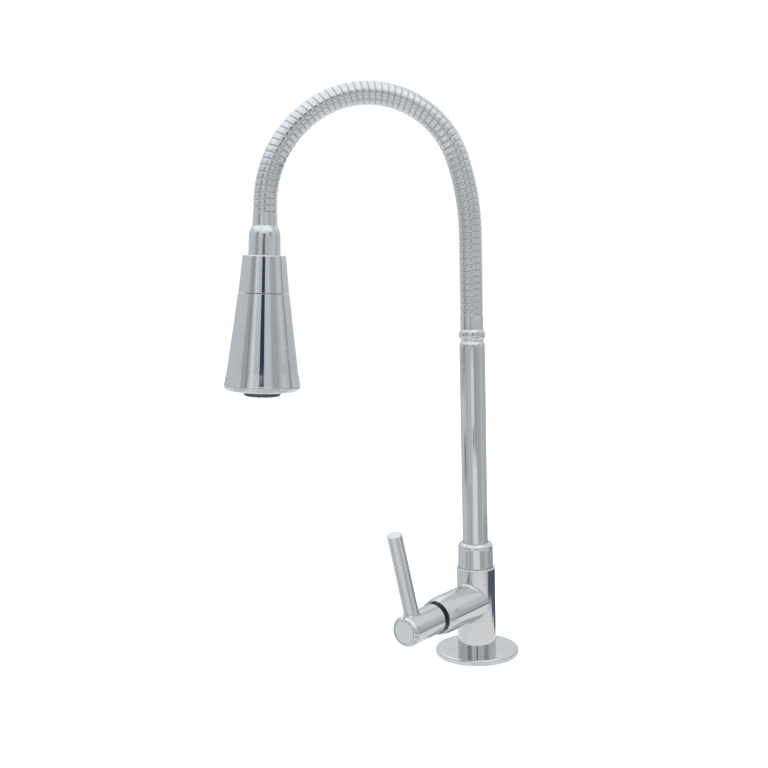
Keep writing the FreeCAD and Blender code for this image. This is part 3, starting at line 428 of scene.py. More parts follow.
class Recipe:
    """Builder for one node tree."""

    def __init__(self, tree: bpy.types.NodeTree) -> None:
        """Start from an empty tree."""
        self.tree = tree
        tree.nodes.clear()

    def node(self, kind: str, settings: dict[str, object] | None = None,
             inputs: dict[str | int, object] | None = None) -> bpy.types.Node:
        """Add a node.

        Args:
            kind: Blender's name of the node type.
            settings: Properties of the node.
            inputs: Values or channels for its sockets, by name or number.

        Returns:
            The new node.
        """
        node = self.tree.nodes.new(kind)
        for key, value in (settings or {}).items():
            setattr(node, key, value)
        for key, value in (inputs or {}).items():
            source = value.socket if isinstance(value, Channel) else value
            if isinstance(source, bpy.types.NodeSocket):
                self.tree.links.new(source, node.inputs[key])
            else:
                node.inputs[key].default_value = source
        return node

    def channel(self, node: bpy.types.Node, output: str | int = 0) -> Channel:
        """Output of a node as a channel."""
        return Channel(self, node.outputs[output])

    def mix(self, factor: float | Channel, first: Colour | Channel, second: Colour | Channel) -> Channel:
        """Blend two colours.

        Args:
            factor: Share of the second colour.
            first: Colour at factor 0.
            second: Colour at factor 1.

        Returns:
            The blended colour.
        """
        low, high = (shade if isinstance(shade, Channel) else (*shade, 1.0) for shade in (first, second))
        # The node's sockets for colours are 6 and 7, and its output for a colour is 2.
        inputs = {0: factor, 6: low, 7: high}
        return self.channel(self.node("ShaderNodeMix", {"data_type": "RGBA"}, inputs), 2)

    def noise(self, scale: float, detail: float, stretch: Sequence[float] | None = None) -> Channel:
        """Soft noise fixed to the piece.

        Args:
            scale: Patches per metre.
            detail: How much finer noise is added.
            stretch: Scale of the noise along X, Y and Z.

        Returns:
            Noise between 0 and 1.
        """
        place = self.node("ShaderNodeTexCoord").outputs["Object"]
        if stretch is not None:
            scaled = self.node("ShaderNodeVectorMath", {"operation": "MULTIPLY"}, {0: place, 1: stretch})
            place = scaled.outputs[0]
        inputs = {"Vector": place, "Scale": scale, "Detail": detail}
        return self.channel(self.node("ShaderNodeTexNoise", None, inputs))

    def bump(self, height: Channel, distance: float, strength: float) -> bpy.types.NodeSocket:
        """Normal with a relief of the given height in metres."""
        inputs = {"Height": height, "Distance": distance, "Strength": strength}
        return self.node("ShaderNodeBump", None, inputs).outputs[0]

    def surface(self, inputs: dict[str | int, object]) -> None:
        """End a material with one Principled shader."""
        shader = self.node("ShaderNodeBsdfPrincipled", None, inputs)
        self.node("ShaderNodeOutputMaterial", None, {"Surface": shader.outputs[0]})


def new_recipe(name: str) -> tuple[bpy.types.Material, Recipe]:
    """New material with an empty recipe.

    Args:
        name: Name of the material.

    Returns:
        The material and its recipe.
    """
    material = bpy.data.materials.new(name)
    material.use_nodes = True
    return material, Recipe(material.node_tree)


@dataclass(frozen=True)
class Plating:
    """Polished chrome plating with faint waves and wipe marks."""

    name: str
    tint: Colour
    shade: Colour
    roughness: float
    haze: float
    waves: float
    patch_scale: float = 38.0
    patch_edges: tuple[float, float] = (0.35, 0.75)
    haze_edges: tuple[float, float] = (0.4, 0.8)
    streak_scale: float = 260.0
    streak_stretch: tuple[float, float, float] = (1.0, 1.0, 0.06)
    streak_share: float = 0.4
    wave_scale: float = 120.0
    wave_height: float = 0.00002

    def material(self) -> bpy.types.Material:
        """Make the material.

        Returns:
            The new material.
        """
        material, recipe = new_recipe(self.name)
        patches = recipe.noise(self.patch_scale, detail=3.0)
        streaks = recipe.noise(self.streak_scale, detail=2.0, stretch=self.streak_stretch)
        colour = recipe.mix(patches.ramp(*self.patch_edges), self.tint, self.shade)
        rough = self.roughness + self.haze * patches.ramp(*self.haze_edges)
        rough = rough + self.streak_share * self.haze * streaks
        relief = recipe.bump(recipe.noise(self.wave_scale, detail=1.0), self.wave_height, self.waves)
        recipe.surface({"Base Color": colour, "Metallic": 1.0, "Roughness": rough, "Normal": relief})
        return material


@dataclass(frozen=True)
class Metal:
    """Plain worked metal with fine tool marks."""

    name: str
    tint: Colour
    shade: Colour
    roughness: float
    patch_scale: float = 60.0
    patch_share: float = 0.08
    mark_scale: float = 900.0
    mark_stretch: tuple[float, float, float] = (0.15, 0.15, 1.0)
    mark_share: float = 0.12
    mark_depth: float = 0.00004
    relief: float = 0.5

    def material(self) -> bpy.types.Material:
        """Make the material.

        Returns:
            The new material.
        """
        material, recipe = new_recipe(self.name)
        patches = recipe.noise(self.patch_scale, detail=3.0)
        marks = recipe.noise(self.mark_scale, detail=1.0, stretch=self.mark_stretch)
        colour = recipe.mix(patches, self.tint, self.shade)
        rough = self.roughness + self.mark_share * marks + self.patch_share * patches
        relief = recipe.bump(marks, self.mark_depth, self.relief)
        recipe.surface({"Base Color": colour, "Metallic": 1.0, "Roughness": rough, "Normal": relief})
        return material


@dataclass(frozen=True)
class Moulded:
    """Moulded plastic, rubber or ceramic with a fine grain."""

    name: str
    tint: Colour
    shade: Colour
    roughness: float
    grain_height: float
    patch_scale: float = 70.0
    grain_scale: float = 2600.0
    grain_share: float = 0.1
    relief: float = 0.6

    def material(self) -> bpy.types.Material:
        """Make the material.

        Returns:
            The new material.
        """
        material, recipe = new_recipe(self.name)
        patches = recipe.noise(self.patch_scale, detail=2.0)
        grain = recipe.noise(self.grain_scale, detail=2.0)
        colour = recipe.mix(patches, self.tint, self.shade)
        rough = self.roughness + self.grain_share * grain
        relief = recipe.bump(grain, self.grain_height, self.relief)
        recipe.surface({"Base Color": colour, "Roughness": rough, "Normal": relief})
        return material


class Finish(Enum):
    """Named finishes of the tap."""

    BODY = Plating("chrome_body", (0.640, 0.645, 0.650), (0.615, 0.620, 0.626), 0.03, 0.03, 0.05)
    HEAD = Plating("chrome_head", (0.640, 0.645, 0.650), (0.610, 0.616, 0.624), 0.04, 0.04, 0.08)
    HOSE = Plating("chrome_hose", (0.645, 0.650, 0.655), (0.600, 0.605, 0.612), 0.12, 0.05, 0.08)
    LEVER = Plating("chrome_lever", (0.640, 0.645, 0.650), (0.615, 0.620, 0.626), 0.15, 0.03, 0.03)
    PLATE = Plating("chrome_plate", (0.640, 0.645, 0.650), (0.600, 0.606, 0.612), 0.06, 0.04, 0.05)
    # Metal darker than the spout's chrome for the liner that shows between the ribs: painted shade that
    # darkens the grooves, on top of their real occlusion.
    GROOVE_SHADE = Metal("groove_shade_steel", (0.54, 0.55, 0.56), (0.46, 0.47, 0.48), 0.34)
    # Brass painted dark grey for the valve housing: painted shade, so that the gap between the barrel and the
    # hub reads dark.
    GAP_SHADE = Metal("gap_shade_brass", (0.300, 0.320, 0.360), (0.240, 0.260, 0.300), 0.45)
    BRASS = Metal("turned_brass", (0.62, 0.46, 0.20), (0.50, 0.36, 0.16), 0.26)
    STEEL = Metal("zinc_steel", (0.50, 0.51, 0.52), (0.40, 0.41, 0.43), 0.30)
    RUBBER = Moulded("black_rubber", (0.016, 0.016, 0.018), (0.024, 0.024, 0.026), 0.55, 0.00003)
    FACE = Moulded("grey_rubber", (0.050, 0.052, 0.056), (0.036, 0.038, 0.042), 0.48, 0.00003)
    CERAMIC = Moulded("white_ceramic", (0.82, 0.82, 0.79), (0.76, 0.76, 0.74), 0.22, 0.00001)
    WHITE = Moulded("white_plastic", (0.78, 0.78, 0.75), (0.72, 0.72, 0.70), 0.38, 0.00002)
    GREY = Moulded("grey_plastic", (0.10, 0.105, 0.115), (0.08, 0.085, 0.095), 0.40, 0.00002)


class Palette:
    """Materials of the tap, each made once."""

    def __init__(self) -> None:
        """Make every finish."""
        self._made = {finish: finish.value.material() for finish in Finish}

    def __getitem__(self, finish: Finish) -> bpy.types.Material:
        """Material of a finish."""
        return self._made[finish]


# Studio


NAVY: Colour = (0.105, 0.130, 0.175)
COOL: Colour = (0.94, 1.0, 1.035)
PURE_WHITE = (1.0, 1.0, 1.0, 1.0)


def cool_grey(level: float) -> Colour:
    """Grey of the studio walls, a little bluer than the white floor."""
    return COOL[0] * level, COOL[1] * level, COOL[2] * level


@dataclass(frozen=True)
class Band:
    """Patch of the surroundings that the chrome mirrors.

    Angles are in degrees: round from the camera, positive to its right, and up from the horizon.
    The shade is a colour, or the level of a cool grey.
    """

    middle: float
    width: float
    soft: float
    shade: Colour | float
    low: float
    high: float
    low_fade: float = 1.0
    high_fade: float = 1.0

    def over(self, recipe: Recipe, below: Channel, around: Channel, height: Channel) -> Channel:
        """Paint the band over what is there.

        Args:
            recipe: Recipe of the surroundings.
            below: Colour so far.
            around: Angle round from the camera.
            height: Angle up from the horizon.

        Returns:
            The colour with the band over it.
        """
        away = (around - self.middle).wrapped(180.0, -180.0).size()
        inside = away.ramp(self.width / 2 - self.soft / 2, self.width / 2 + self.soft / 2, 1.0, 0.0)
        inside = inside * height.ramp(self.low - self.low_fade, self.low + self.low_fade)
        inside = inside * height.ramp(self.high - self.high_fade, self.high + self.high_fade, 1.0, 0.0)
        shade = cool_grey(self.shade) if isinstance(self.shade, float) else self.shade
        return recipe.mix(inside, below, shade)


@dataclass(frozen=True)
class SoftLight:
    """Large square light that points at the tap; metres and watts."""

    name: str
    place: tuple[float, float, float]
    size: float
    power: float


# What the chrome mirrors, each over the ones before it: middle, width, softness and shade, then the
# lowest and highest angle with their fades.
MIRRORED: tuple[Band, ...] = (
    # Walls to the right and to the left.
    Band(125.0, 60.0, 12.0, 0.77, 2.0, 40.0, 6.0, 8.0),
    Band(128.0, 90.0, 20.0, 0.92, 18.5, 60.0, 6.0, 8.0),
    Band(-100.0, 50.0, 20.0, 0.74, -18.0, 24.0, 1.0, 8.0),
    Band(-96.0, 50.0, 16.0, 0.56, -6.6, -3.8, 0.8),
    # Mostly below the horizon, as the riser, the collar and the body mirror it.
    Band(44.0, 44.0, 18.0, 0.54, -15.0, -4.0),
    Band(54.0, 26.0, 10.0, 0.54, -3.5, 20.0, 1.0, 6.0),
    Band(104.0, 8.0, 5.0, 0.58, 1.0, 18.0),
    Band(-57.0, 8.0, 5.0, 0.50, -16.0, -4.0),
    Band(-84.0, 24.0, 12.0, 0.34, -11.4, -8.9, 0.8, 0.8),
    Band(-3.0, 26.0, 8.0, 0.95, -9.0, -4.5, 1.5),
    Band(6.0, 40.0, 9.0, (0.97, 0.98, 0.98), -15.0, -9.8, 1.0, 0.8),
    Band(18.0, 70.0, 40.0, (0.95, 0.955, 0.955), -26.0, -15.0, 4.0),
    Band(0.0, 10.0, 5.0, 0.30, -9.6, -8.5, 0.5, 0.3),
    Band(22.0, 24.0, 5.0, 0.48, -9.8, -3.2, 0.9, 1.5),
    Band(110.0, 14.0, 6.0, 0.54, -12.8, -2.0, 0.6, 4.0),
    Band(118.0, 64.0, 14.0, 0.48, -15.2, -12.8, 0.3),
    Band(117.0, 84.0, 12.0, NAVY, -17.4, -15.2, 0.5, 0.3),
    Band(133.0, 56.0, 12.0, NAVY, -18.2, -16.9, 0.4, 0.6),
    Band(146.0, 36.0, 10.0, NAVY, -18.8, -17.6, 0.3, 0.5),
    Band(-66.0, 60.0, 20.0, 0.90, -26.0, -16.5, 2.0),
    # Steeply below, as what faces down mirrors it.
    Band(20.0, 110.0, 30.0, 0.72, -90.0, -54.0, 1.0, 6.0),
    Band(-78.0, 70.0, 30.0, 0.67, -52.0, -30.0, 6.0, 3.0),
    Band(-6.0, 34.0, 24.0, 0.88, -52.0, -36.0, 6.0, 3.0),
    Band(10.0, 50.0, 20.0, 0.68, -35.0, -22.0, 3.0, 2.0),
    Band(52.0, 44.0, 24.0, 0.60, -44.0, -25.0, 4.0, 2.0),
    Band(92.0, 34.0, 14.0, 0.70, -27.0, -20.6, 1.0, 0.5),
    # Walls from the horizon up.
    Band(-47.0, 26.0, 8.0, 0.51, -3.5, 24.0, 1.0, 4.0),
    Band(-41.0, 5.0, 3.0, 0.36, 7.0, 30.0, 1.0, 4.0),
    Band(-23.0, 10.0, 5.0, 0.95, 6.0, 90.0),
    Band(27.0, 22.0, 7.0, 0.77, -3.2, 22.0, 1.0, 6.0),
    Band(85.0, 14.0, 6.0, 0.80, 4.0, 30.0),
    # Round the horizon, as the upright part of the spout mirrors it.
    Band(-2.0, 160.0, 20.0, 0.66, -3.2, 4.5, 0.6),
    Band(55.0, 90.0, 12.0, 0.74, -3.2, 1.4, 0.8, 0.5),
    Band(-34.0, 18.0, 6.0, 0.82, -3.2, 1.4, 0.8, 0.5),
    Band(-13.0, 10.0, 5.0, 0.44, -4.0, 1.6, 0.8, 0.3),
    Band(-68.0, 12.0, 6.0, 0.48, -4.0, 1.6, 0.8, 0.3),
    # Just above it, as the bell mirrors it.
    Band(-20.0, 16.0, 8.0, 0.74, 1.8, 5.5, 0.3, 0.8),
    Band(-51.0, 14.0, 8.0, 0.38, 1.8, 5.5, 0.3, 0.8),
    Band(5.0, 17.0, 6.0, (0.160, 0.180, 0.225), 1.8, 4.9, 0.3, 0.5),
    # Higher up, as the cones and other leaning pieces mirror it.
    Band(8.8, 15.0, 2.0, (0.040, 0.060, 0.105), 8.6, 17.5, 0.5, 1.5),
    Band(1.0, 8.0, 3.0, 0.20, 18.6, 23.0),
    Band(26.0, 14.0, 6.0, 0.88, 18.6, 23.0),
    Band(-45.0, 24.0, 8.0, 0.42, 18.6, 23.0),
    Band(60.0, 28.0, 10.0, 0.50, 18.6, 23.0),
)


@dataclass(frozen=True)
class Studio:
    """Camera, pale floor, lights and the surroundings that the chrome mirrors.

    The camera's place and the floor are in millimetres. The azimuth and the edges of what is mirrored
    are in degrees, and the camera's other turns are in radians.
    """

    azimuth: float = 78.0
    distance: float = 819.1
    height: float = 295.5
    yaw: float = -0.081
    pitch: float = math.radians(6.12)
    roll: float = math.radians(-1.42)
    focal_px: float = 1100.0
    picture_px: float = 768.0
    sensor: float = 36.0
    clip: tuple[float, float] = (0.01, 50.0)
    floor_r: tuple[float, ...] = (14.0, 60.0, 400.0, 6000.0)
    floor_steps: int = 64
    floor_tint: Colour = (0.90, 0.90, 0.90)
    floor_shade: Colour = (0.92, 0.92, 0.92)
    floor_roughness: float = 0.6
    floor_glow: float = 0.4
    speckle_scale: float = 30.0
    mirrored_r: float = 20.0
    mirrored_z: tuple[float, float] = (-0.5, -0.3)
    mirrored_at: tuple[float, float, float] = (36.8, -36.8, 0.0)
    mirrored_shade: Colour = (0.97, 0.97, 0.97)
    ground: Colour = (0.955, 0.955, 0.950)
    wall: Colour = cool_grey(0.665)
    ceiling: Colour = cool_grey(1.28)
    ground_edge: tuple[float, float] = (-18.5, -15.0)
    ceiling_edge: tuple[float, float] = (4.0, 46.0)
    lights: tuple[SoftLight, ...] = (SoftLight("key_light", (0.9, -1.1, 1.5), 1.4, 16.0),
                                     SoftLight("fill_light", (-0.6, 1.3, 1.2), 1.6, 8.0))
    lit_point: tuple[float, float, float] = (0.0, -0.05, 0.2)

    def build(self) -> None:
        """Make the camera, floor, surroundings and lights."""
        self._camera()
        self._floor()
        self._mirrored_floor()
        self._surroundings()
        for light in self.lights:
            self._hang(light)
        bpy.context.scene.view_settings.view_transform = "Standard"

    def _camera(self) -> None:
        """Set the camera where the photograph was taken from."""
        ahead = Vector((math.sin(self.yaw) * math.cos(self.pitch), math.cos(self.yaw) * math.cos(self.pitch),
                        -math.sin(self.pitch)))
        level = Vector((math.cos(self.yaw), -math.sin(self.yaw), 0.0))
        rise = level.cross(ahead)
        right = level * math.cos(self.roll) + rise * math.sin(self.roll)
        up = rise * math.cos(self.roll) - level * math.sin(self.roll)
        turn = Matrix.Rotation(math.radians(self.azimuth), 3, "Z")
        axes = Matrix((turn @ right, turn @ up, turn @ -ahead)).transposed()
        place = turn @ Vector((0.0, -self.distance, self.height)) * MM
        data = bpy.data.cameras.new("camera")
        data.sensor_width = self.sensor
        data.lens = self.sensor * self.focal_px / self.picture_px
        data.clip_start, data.clip_end = self.clip
        camera = bpy.data.objects.new("camera", data)
        camera.matrix_world = Matrix.Translation(place) @ axes.to_4x4()
        bpy.context.scene.collection.objects.link(camera)
        bpy.context.scene.camera = camera

    def _floor(self) -> None:
        """Lay a pale floor with a tap hole in it."""
        material, recipe = new_recipe("pale_floor")
        speckles = recipe.noise(self.speckle_scale, detail=2.0)
        colour = recipe.mix(speckles, self.floor_tint, self.floor_shade)
        recipe.surface({"Base Color": colour, "Roughness": self.floor_roughness,
                        "Emission Color": PURE_WHITE, "Emission Strength": self.floor_glow})
        points = [point for radius in self.floor_r for point in UPRIGHT.ring(radius, 0.0, self.floor_steps)]
        floor = mesh_object("floor", points, ring_faces(len(self.floor_r), self.floor_steps, False), material)
        if floor.data.polygons[0].normal.z < 0:
            floor.data.flip_normals()
        floor.visible_glossy = False

    def _mirrored_floor(self) -> None:
        """Lay a small white plate under the hub, which only the chrome sees, to keep the tail out of it."""
        material, recipe = new_recipe("mirrored_white")
        speckles = recipe.noise(self.speckle_scale, detail=2.0)
        colour = recipe.mix(speckles, self.ground, self.mirrored_shade)
        recipe.surface({"Base Color": (0.0, 0.0, 0.0, 1.0), "Roughness": 1.0, "Specular IOR Level": 0.0,
                        "Emission Color": colour, "Emission Strength": 1.0})
        low, high = self.mirrored_z
        outline = Outline(0.0, low).to(self.mirrored_r, low).to(self.mirrored_r, high).to(0.0, high)
        plate = turned("mirrored_floor", outline, Axis(Vector(self.mirrored_at), UPRIGHT.along), material)
        plate.visible_camera = plate.visible_shadow = plate.visible_diffuse = False

    def _surroundings(self) -> None:
        """Paint the world that the chrome reflects, and plain white behind the tap."""
        world = bpy.data.worlds.new("studio")
        bpy.context.scene.world = world
        world.use_nodes = True
        recipe = Recipe(world.node_tree)
        way = recipe.node("ShaderNodeTexCoord").outputs["Generated"]
        split = recipe.node("ShaderNodeSeparateXYZ", None, {0: way})
        x, y, z = (recipe.channel(split, k) for k in range(3))
        camera_way = self.azimuth - 90.0
        around = (y.direction_to(x) * math.degrees(1.0) - camera_way).wrapped(180.0, -180.0)
        height = z.arcsine() * math.degrees(1.0)
        colour = recipe.mix(height.ramp(*self.ground_edge), self.ground, self.wall)
        colour = recipe.mix(height.ramp(*self.ceiling_edge), colour, self.ceiling)
        for band in MIRRORED:
            colour = band.over(recipe, colour, around, height)
        seen = recipe.channel(recipe.node("ShaderNodeLightPath"), "Is Camera Ray")
        mirrored = recipe.node("ShaderNodeBackground", None, {"Color": colour}).outputs[0]
        plain = recipe.node("ShaderNodeBackground", None, {"Color": PURE_WHITE}).outputs[0]
        both = recipe.node("ShaderNodeMixShader", None, {0: seen, 1: mirrored, 2: plain})
        recipe.node("ShaderNodeOutputWorld", None, {"Surface": both.outputs[0]})

    def _hang(self, light: SoftLight) -> None:
        """Hang a light, out of sight of the chrome.

        Args:
            light: Light to hang.
        """
        data = bpy.data.lights.new(light.name, "AREA")
        data.size, data.energy = light.size, light.power
        lamp = bpy.data.objects.new(light.name, data)
        lamp.location = light.place
        lamp.rotation_mode = "QUATERNION"
        lamp.rotation_quaternion = (Vector(self.lit_point) - Vector(light.place)).to_track_quat("-Z", "Y")
        lamp.visible_glossy = False
        bpy.context.scene.collection.objects.link(lamp)


# Sub-assemblies


@dataclass
class Workshop:
    """What every sub-assembly needs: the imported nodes, the finishes and the list of pieces made."""

    nodes: dict[str, bpy.types.Object]
    palette: Palette
    made: list[str] = field(default_factory=list)

    def dress(self, finish: Finish, *names: str) -> None:
        """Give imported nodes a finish.

        Args:
            finish: Finish to give.
            names: Names of the nodes.
        """
        for name in names:
            mesh = self.nodes[name].data
            mesh.materials.clear()
            mesh.materials.append(self.palette[finish])
            self.made.append(name)

    def add(self, piece: bpy.types.Object, body: str, slot: str, *stands_for: str) -> bpy.types.Object:
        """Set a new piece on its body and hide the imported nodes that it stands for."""
        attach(piece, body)
        return self.note(piece, slot, *stands_for)

    def note(self, piece: bpy.types.Object, slot: str, *stands_for: str) -> bpy.types.Object:
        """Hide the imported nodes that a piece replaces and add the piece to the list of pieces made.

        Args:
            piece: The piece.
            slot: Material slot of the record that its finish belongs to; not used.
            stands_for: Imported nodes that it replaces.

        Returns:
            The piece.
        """
        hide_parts(*stands_for)
        self.made.append(piece.name)
        return piece


@dataclass(frozen=True)
class DeckFixing:
    """Base plate, threaded tail and what clamps the tap to the worktop."""

    plate_r: float = 31.5
    plate_h: float = 4.0
    plate_round: float = 1.4
    plate_edge: float = 0.4
    plate_hole_r: float = 12.3
    plate_segments: int = 192
    gasket_room: tuple[float, float, float] = (20.0, 28.5, 1.6)
    shank_r: float = 10.48
    shank_bore_r: float = 6.5
    shank_end: float = -56.0
    shank_top: float = 15.0
    thread_pitch: float = 1.814
    thread_depth: float = 0.75
    thread_top: float = -2.0
    thread_rows: int = 10
    thread_slope: float = 3.2
    thread_start: tuple[float, float] = (0.9, 0.15)
    end_bevel: float = 0.8
    tail_segments: int = 96

    def build(self, shop: Workshop) -> None:
        """Make the plate and tail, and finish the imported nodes.

        Args:
            shop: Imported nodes, finishes and the list of pieces.
        """
        inner, outer, room = self.gasket_room
        outline = (Outline(self.plate_hole_r, 0.0).to(inner, 0.0).to(inner, room).to(outer, room)
                   .to(outer, 0.0).to(self.plate_r, 0.0, self.plate_edge)
                   .to(self.plate_r, self.plate_h, self.plate_round).to(self.plate_hole_r, self.plate_h))
        plate = turned("plate_disc", outline, UPRIGHT, shop.palette[Finish.PLATE], self.plate_segments)
        shop.add(plate, "base_unit", "polished_chrome", "base_plate")
        shop.add(self._tail(shop.palette[Finish.BRASS]), "base_unit", "brass", "inlet_shank")
        shop.dress(Finish.RUBBER, "base_gasket", "deck_seal")
        shop.dress(Finish.STEEL, "clamp_washer")
        shop.dress(Finish.BRASS, "backnut")

    def _thread_r(self, turn: float, at: float) -> float:
        """Outside radius of the tail at a place on it.

        Args:
            turn: Turn about the axis in radians.
            at: Height in millimetres.

        Returns:
            The radius in millimetres.
        """
        if at > self.thread_top:
            return self.shank_r
        phase = (at / self.thread_pitch - turn / math.tau) % 1.0
        tooth = min(1.0, self.thread_slope * abs(phase - 0.5))
        run_in, least = self.thread_start
        fade = min(1.0, (self.thread_top - at) / self.thread_pitch, (at - self.shank_end) / run_in + least)
        return self.shank_r - self.thread_depth * (1.0 - tooth) * max(0.0, fade)

    def _tail(self, finish: bpy.types.Material) -> bpy.types.Object:
        """Tail with a helical pipe thread and a bevelled end.

        Args:
            finish: Material of the tail.

        Returns:
            The new piece.
        """
        steps = self.tail_segments
        levels = [self.shank_top]
        count = math.ceil((self.thread_top - self.shank_end) / self.thread_pitch * self.thread_rows)
        levels += [self.thread_top + (self.shank_end - self.thread_top) * k / count for k in range(count + 1)]
        points: list[Vector] = []
        for at in levels:
            bevel = max(0.0, self.end_bevel - (at - self.shank_end))
            for k in range(steps):
                turn = math.tau * k / steps
                points.append(UPRIGHT.place(min(self._thread_r(turn, at), self.shank_r - bevel), turn, at))
        for at in (self.shank_end, self.shank_top):
            points += UPRIGHT.ring(self.shank_bore_r, at, steps)
        return mesh_object("threaded_tail", points, ring_faces(len(levels) + 2, steps, True), finish)


@dataclass(frozen=True)
class Valve:
    """Quarter-turn valve in the side barrel."""

    def build(self, shop: Workshop) -> None:
        """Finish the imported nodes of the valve.

        Args:
            shop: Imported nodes, finishes and the list of pieces.
        """
        # The housing's dark grey paints the shade in the gap between the barrel and the hub.
        shop.dress(Finish.GAP_SHADE, "valve_housing")
        shop.dress(Finish.BRASS, "valve_spindle")
        shop.dress(Finish.CERAMIC, "fixed_ceramic_disc", "turning_ceramic_disc")
        shop.dress(Finish.RUBBER, "seat_seal", "valve_o_ring")
        shop.dress(Finish.STEEL, "spindle_clip", "handle_screw")


@dataclass(frozen=True)
class Handle:
    """Hub with its lever, and the bare cap on the end of the hub."""

    branch_z: float = 41.5
    branch_angle: float = 45.0
    hub_r: float = 11.05
    hub_end: float = 89.6
    front_r: float = 7.6
    spigot: float = 3.4
    face_r: float = 8.5
    face_at: float = 92.8
    dish: float = 0.2
    groove_w: float = 0.45
    groove_depth: float = 0.5
    seam: tuple[float, float] = (0.45, 0.35)
    side_h: float = 1.2
    rim_w: float = 0.9
    spigot_edge: float = 0.2
    seam_edge: float = 0.1
    side_round: float = 1.6
    rim_round: float = 1.1
    groove_edge: float = 0.15

    def build(self, shop: Workshop) -> None:
        """Finish the casting and make the cap.

        Args:
            shop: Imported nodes, finishes and the list of pieces.
        """
        shop.dress(Finish.LEVER, "handle")
        turn = math.radians(self.branch_angle)
        axis = Axis(Vector((0.0, 0.0, self.branch_z)), Vector((math.sin(turn), -math.cos(turn), 0.0)))
        low, end, floor = self.hub_end - self.spigot, self.hub_end, self.face_at - self.dish
        neck_r, seam_end = self.hub_r - self.seam[0], end + self.seam[1]
        groove_r, groove_floor = self.face_r - self.groove_w, floor - self.groove_depth
        outline = (Outline(0.0, low).to(self.front_r, low, self.spigot_edge).to(self.front_r, end)
                   .to(neck_r, end).to(neck_r, seam_end).to(self.hub_r, seam_end, self.seam_edge)
                   .to(self.hub_r, end + self.side_h, self.side_round)
                   .to(self.face_r + self.rim_w, self.face_at, self.rim_round)
                   .to(self.face_r, self.face_at, self.groove_edge).to(self.face_r, groove_floor)
                   .to(groove_r, groove_floor).to(groove_r, floor, self.groove_edge).to(0.0, floor))
        cap = turned("hub_end_cap", outline, axis, shop.palette[Finish.BODY])
        shop.add(cap, "handle", "polished_chrome", "hub_cap")


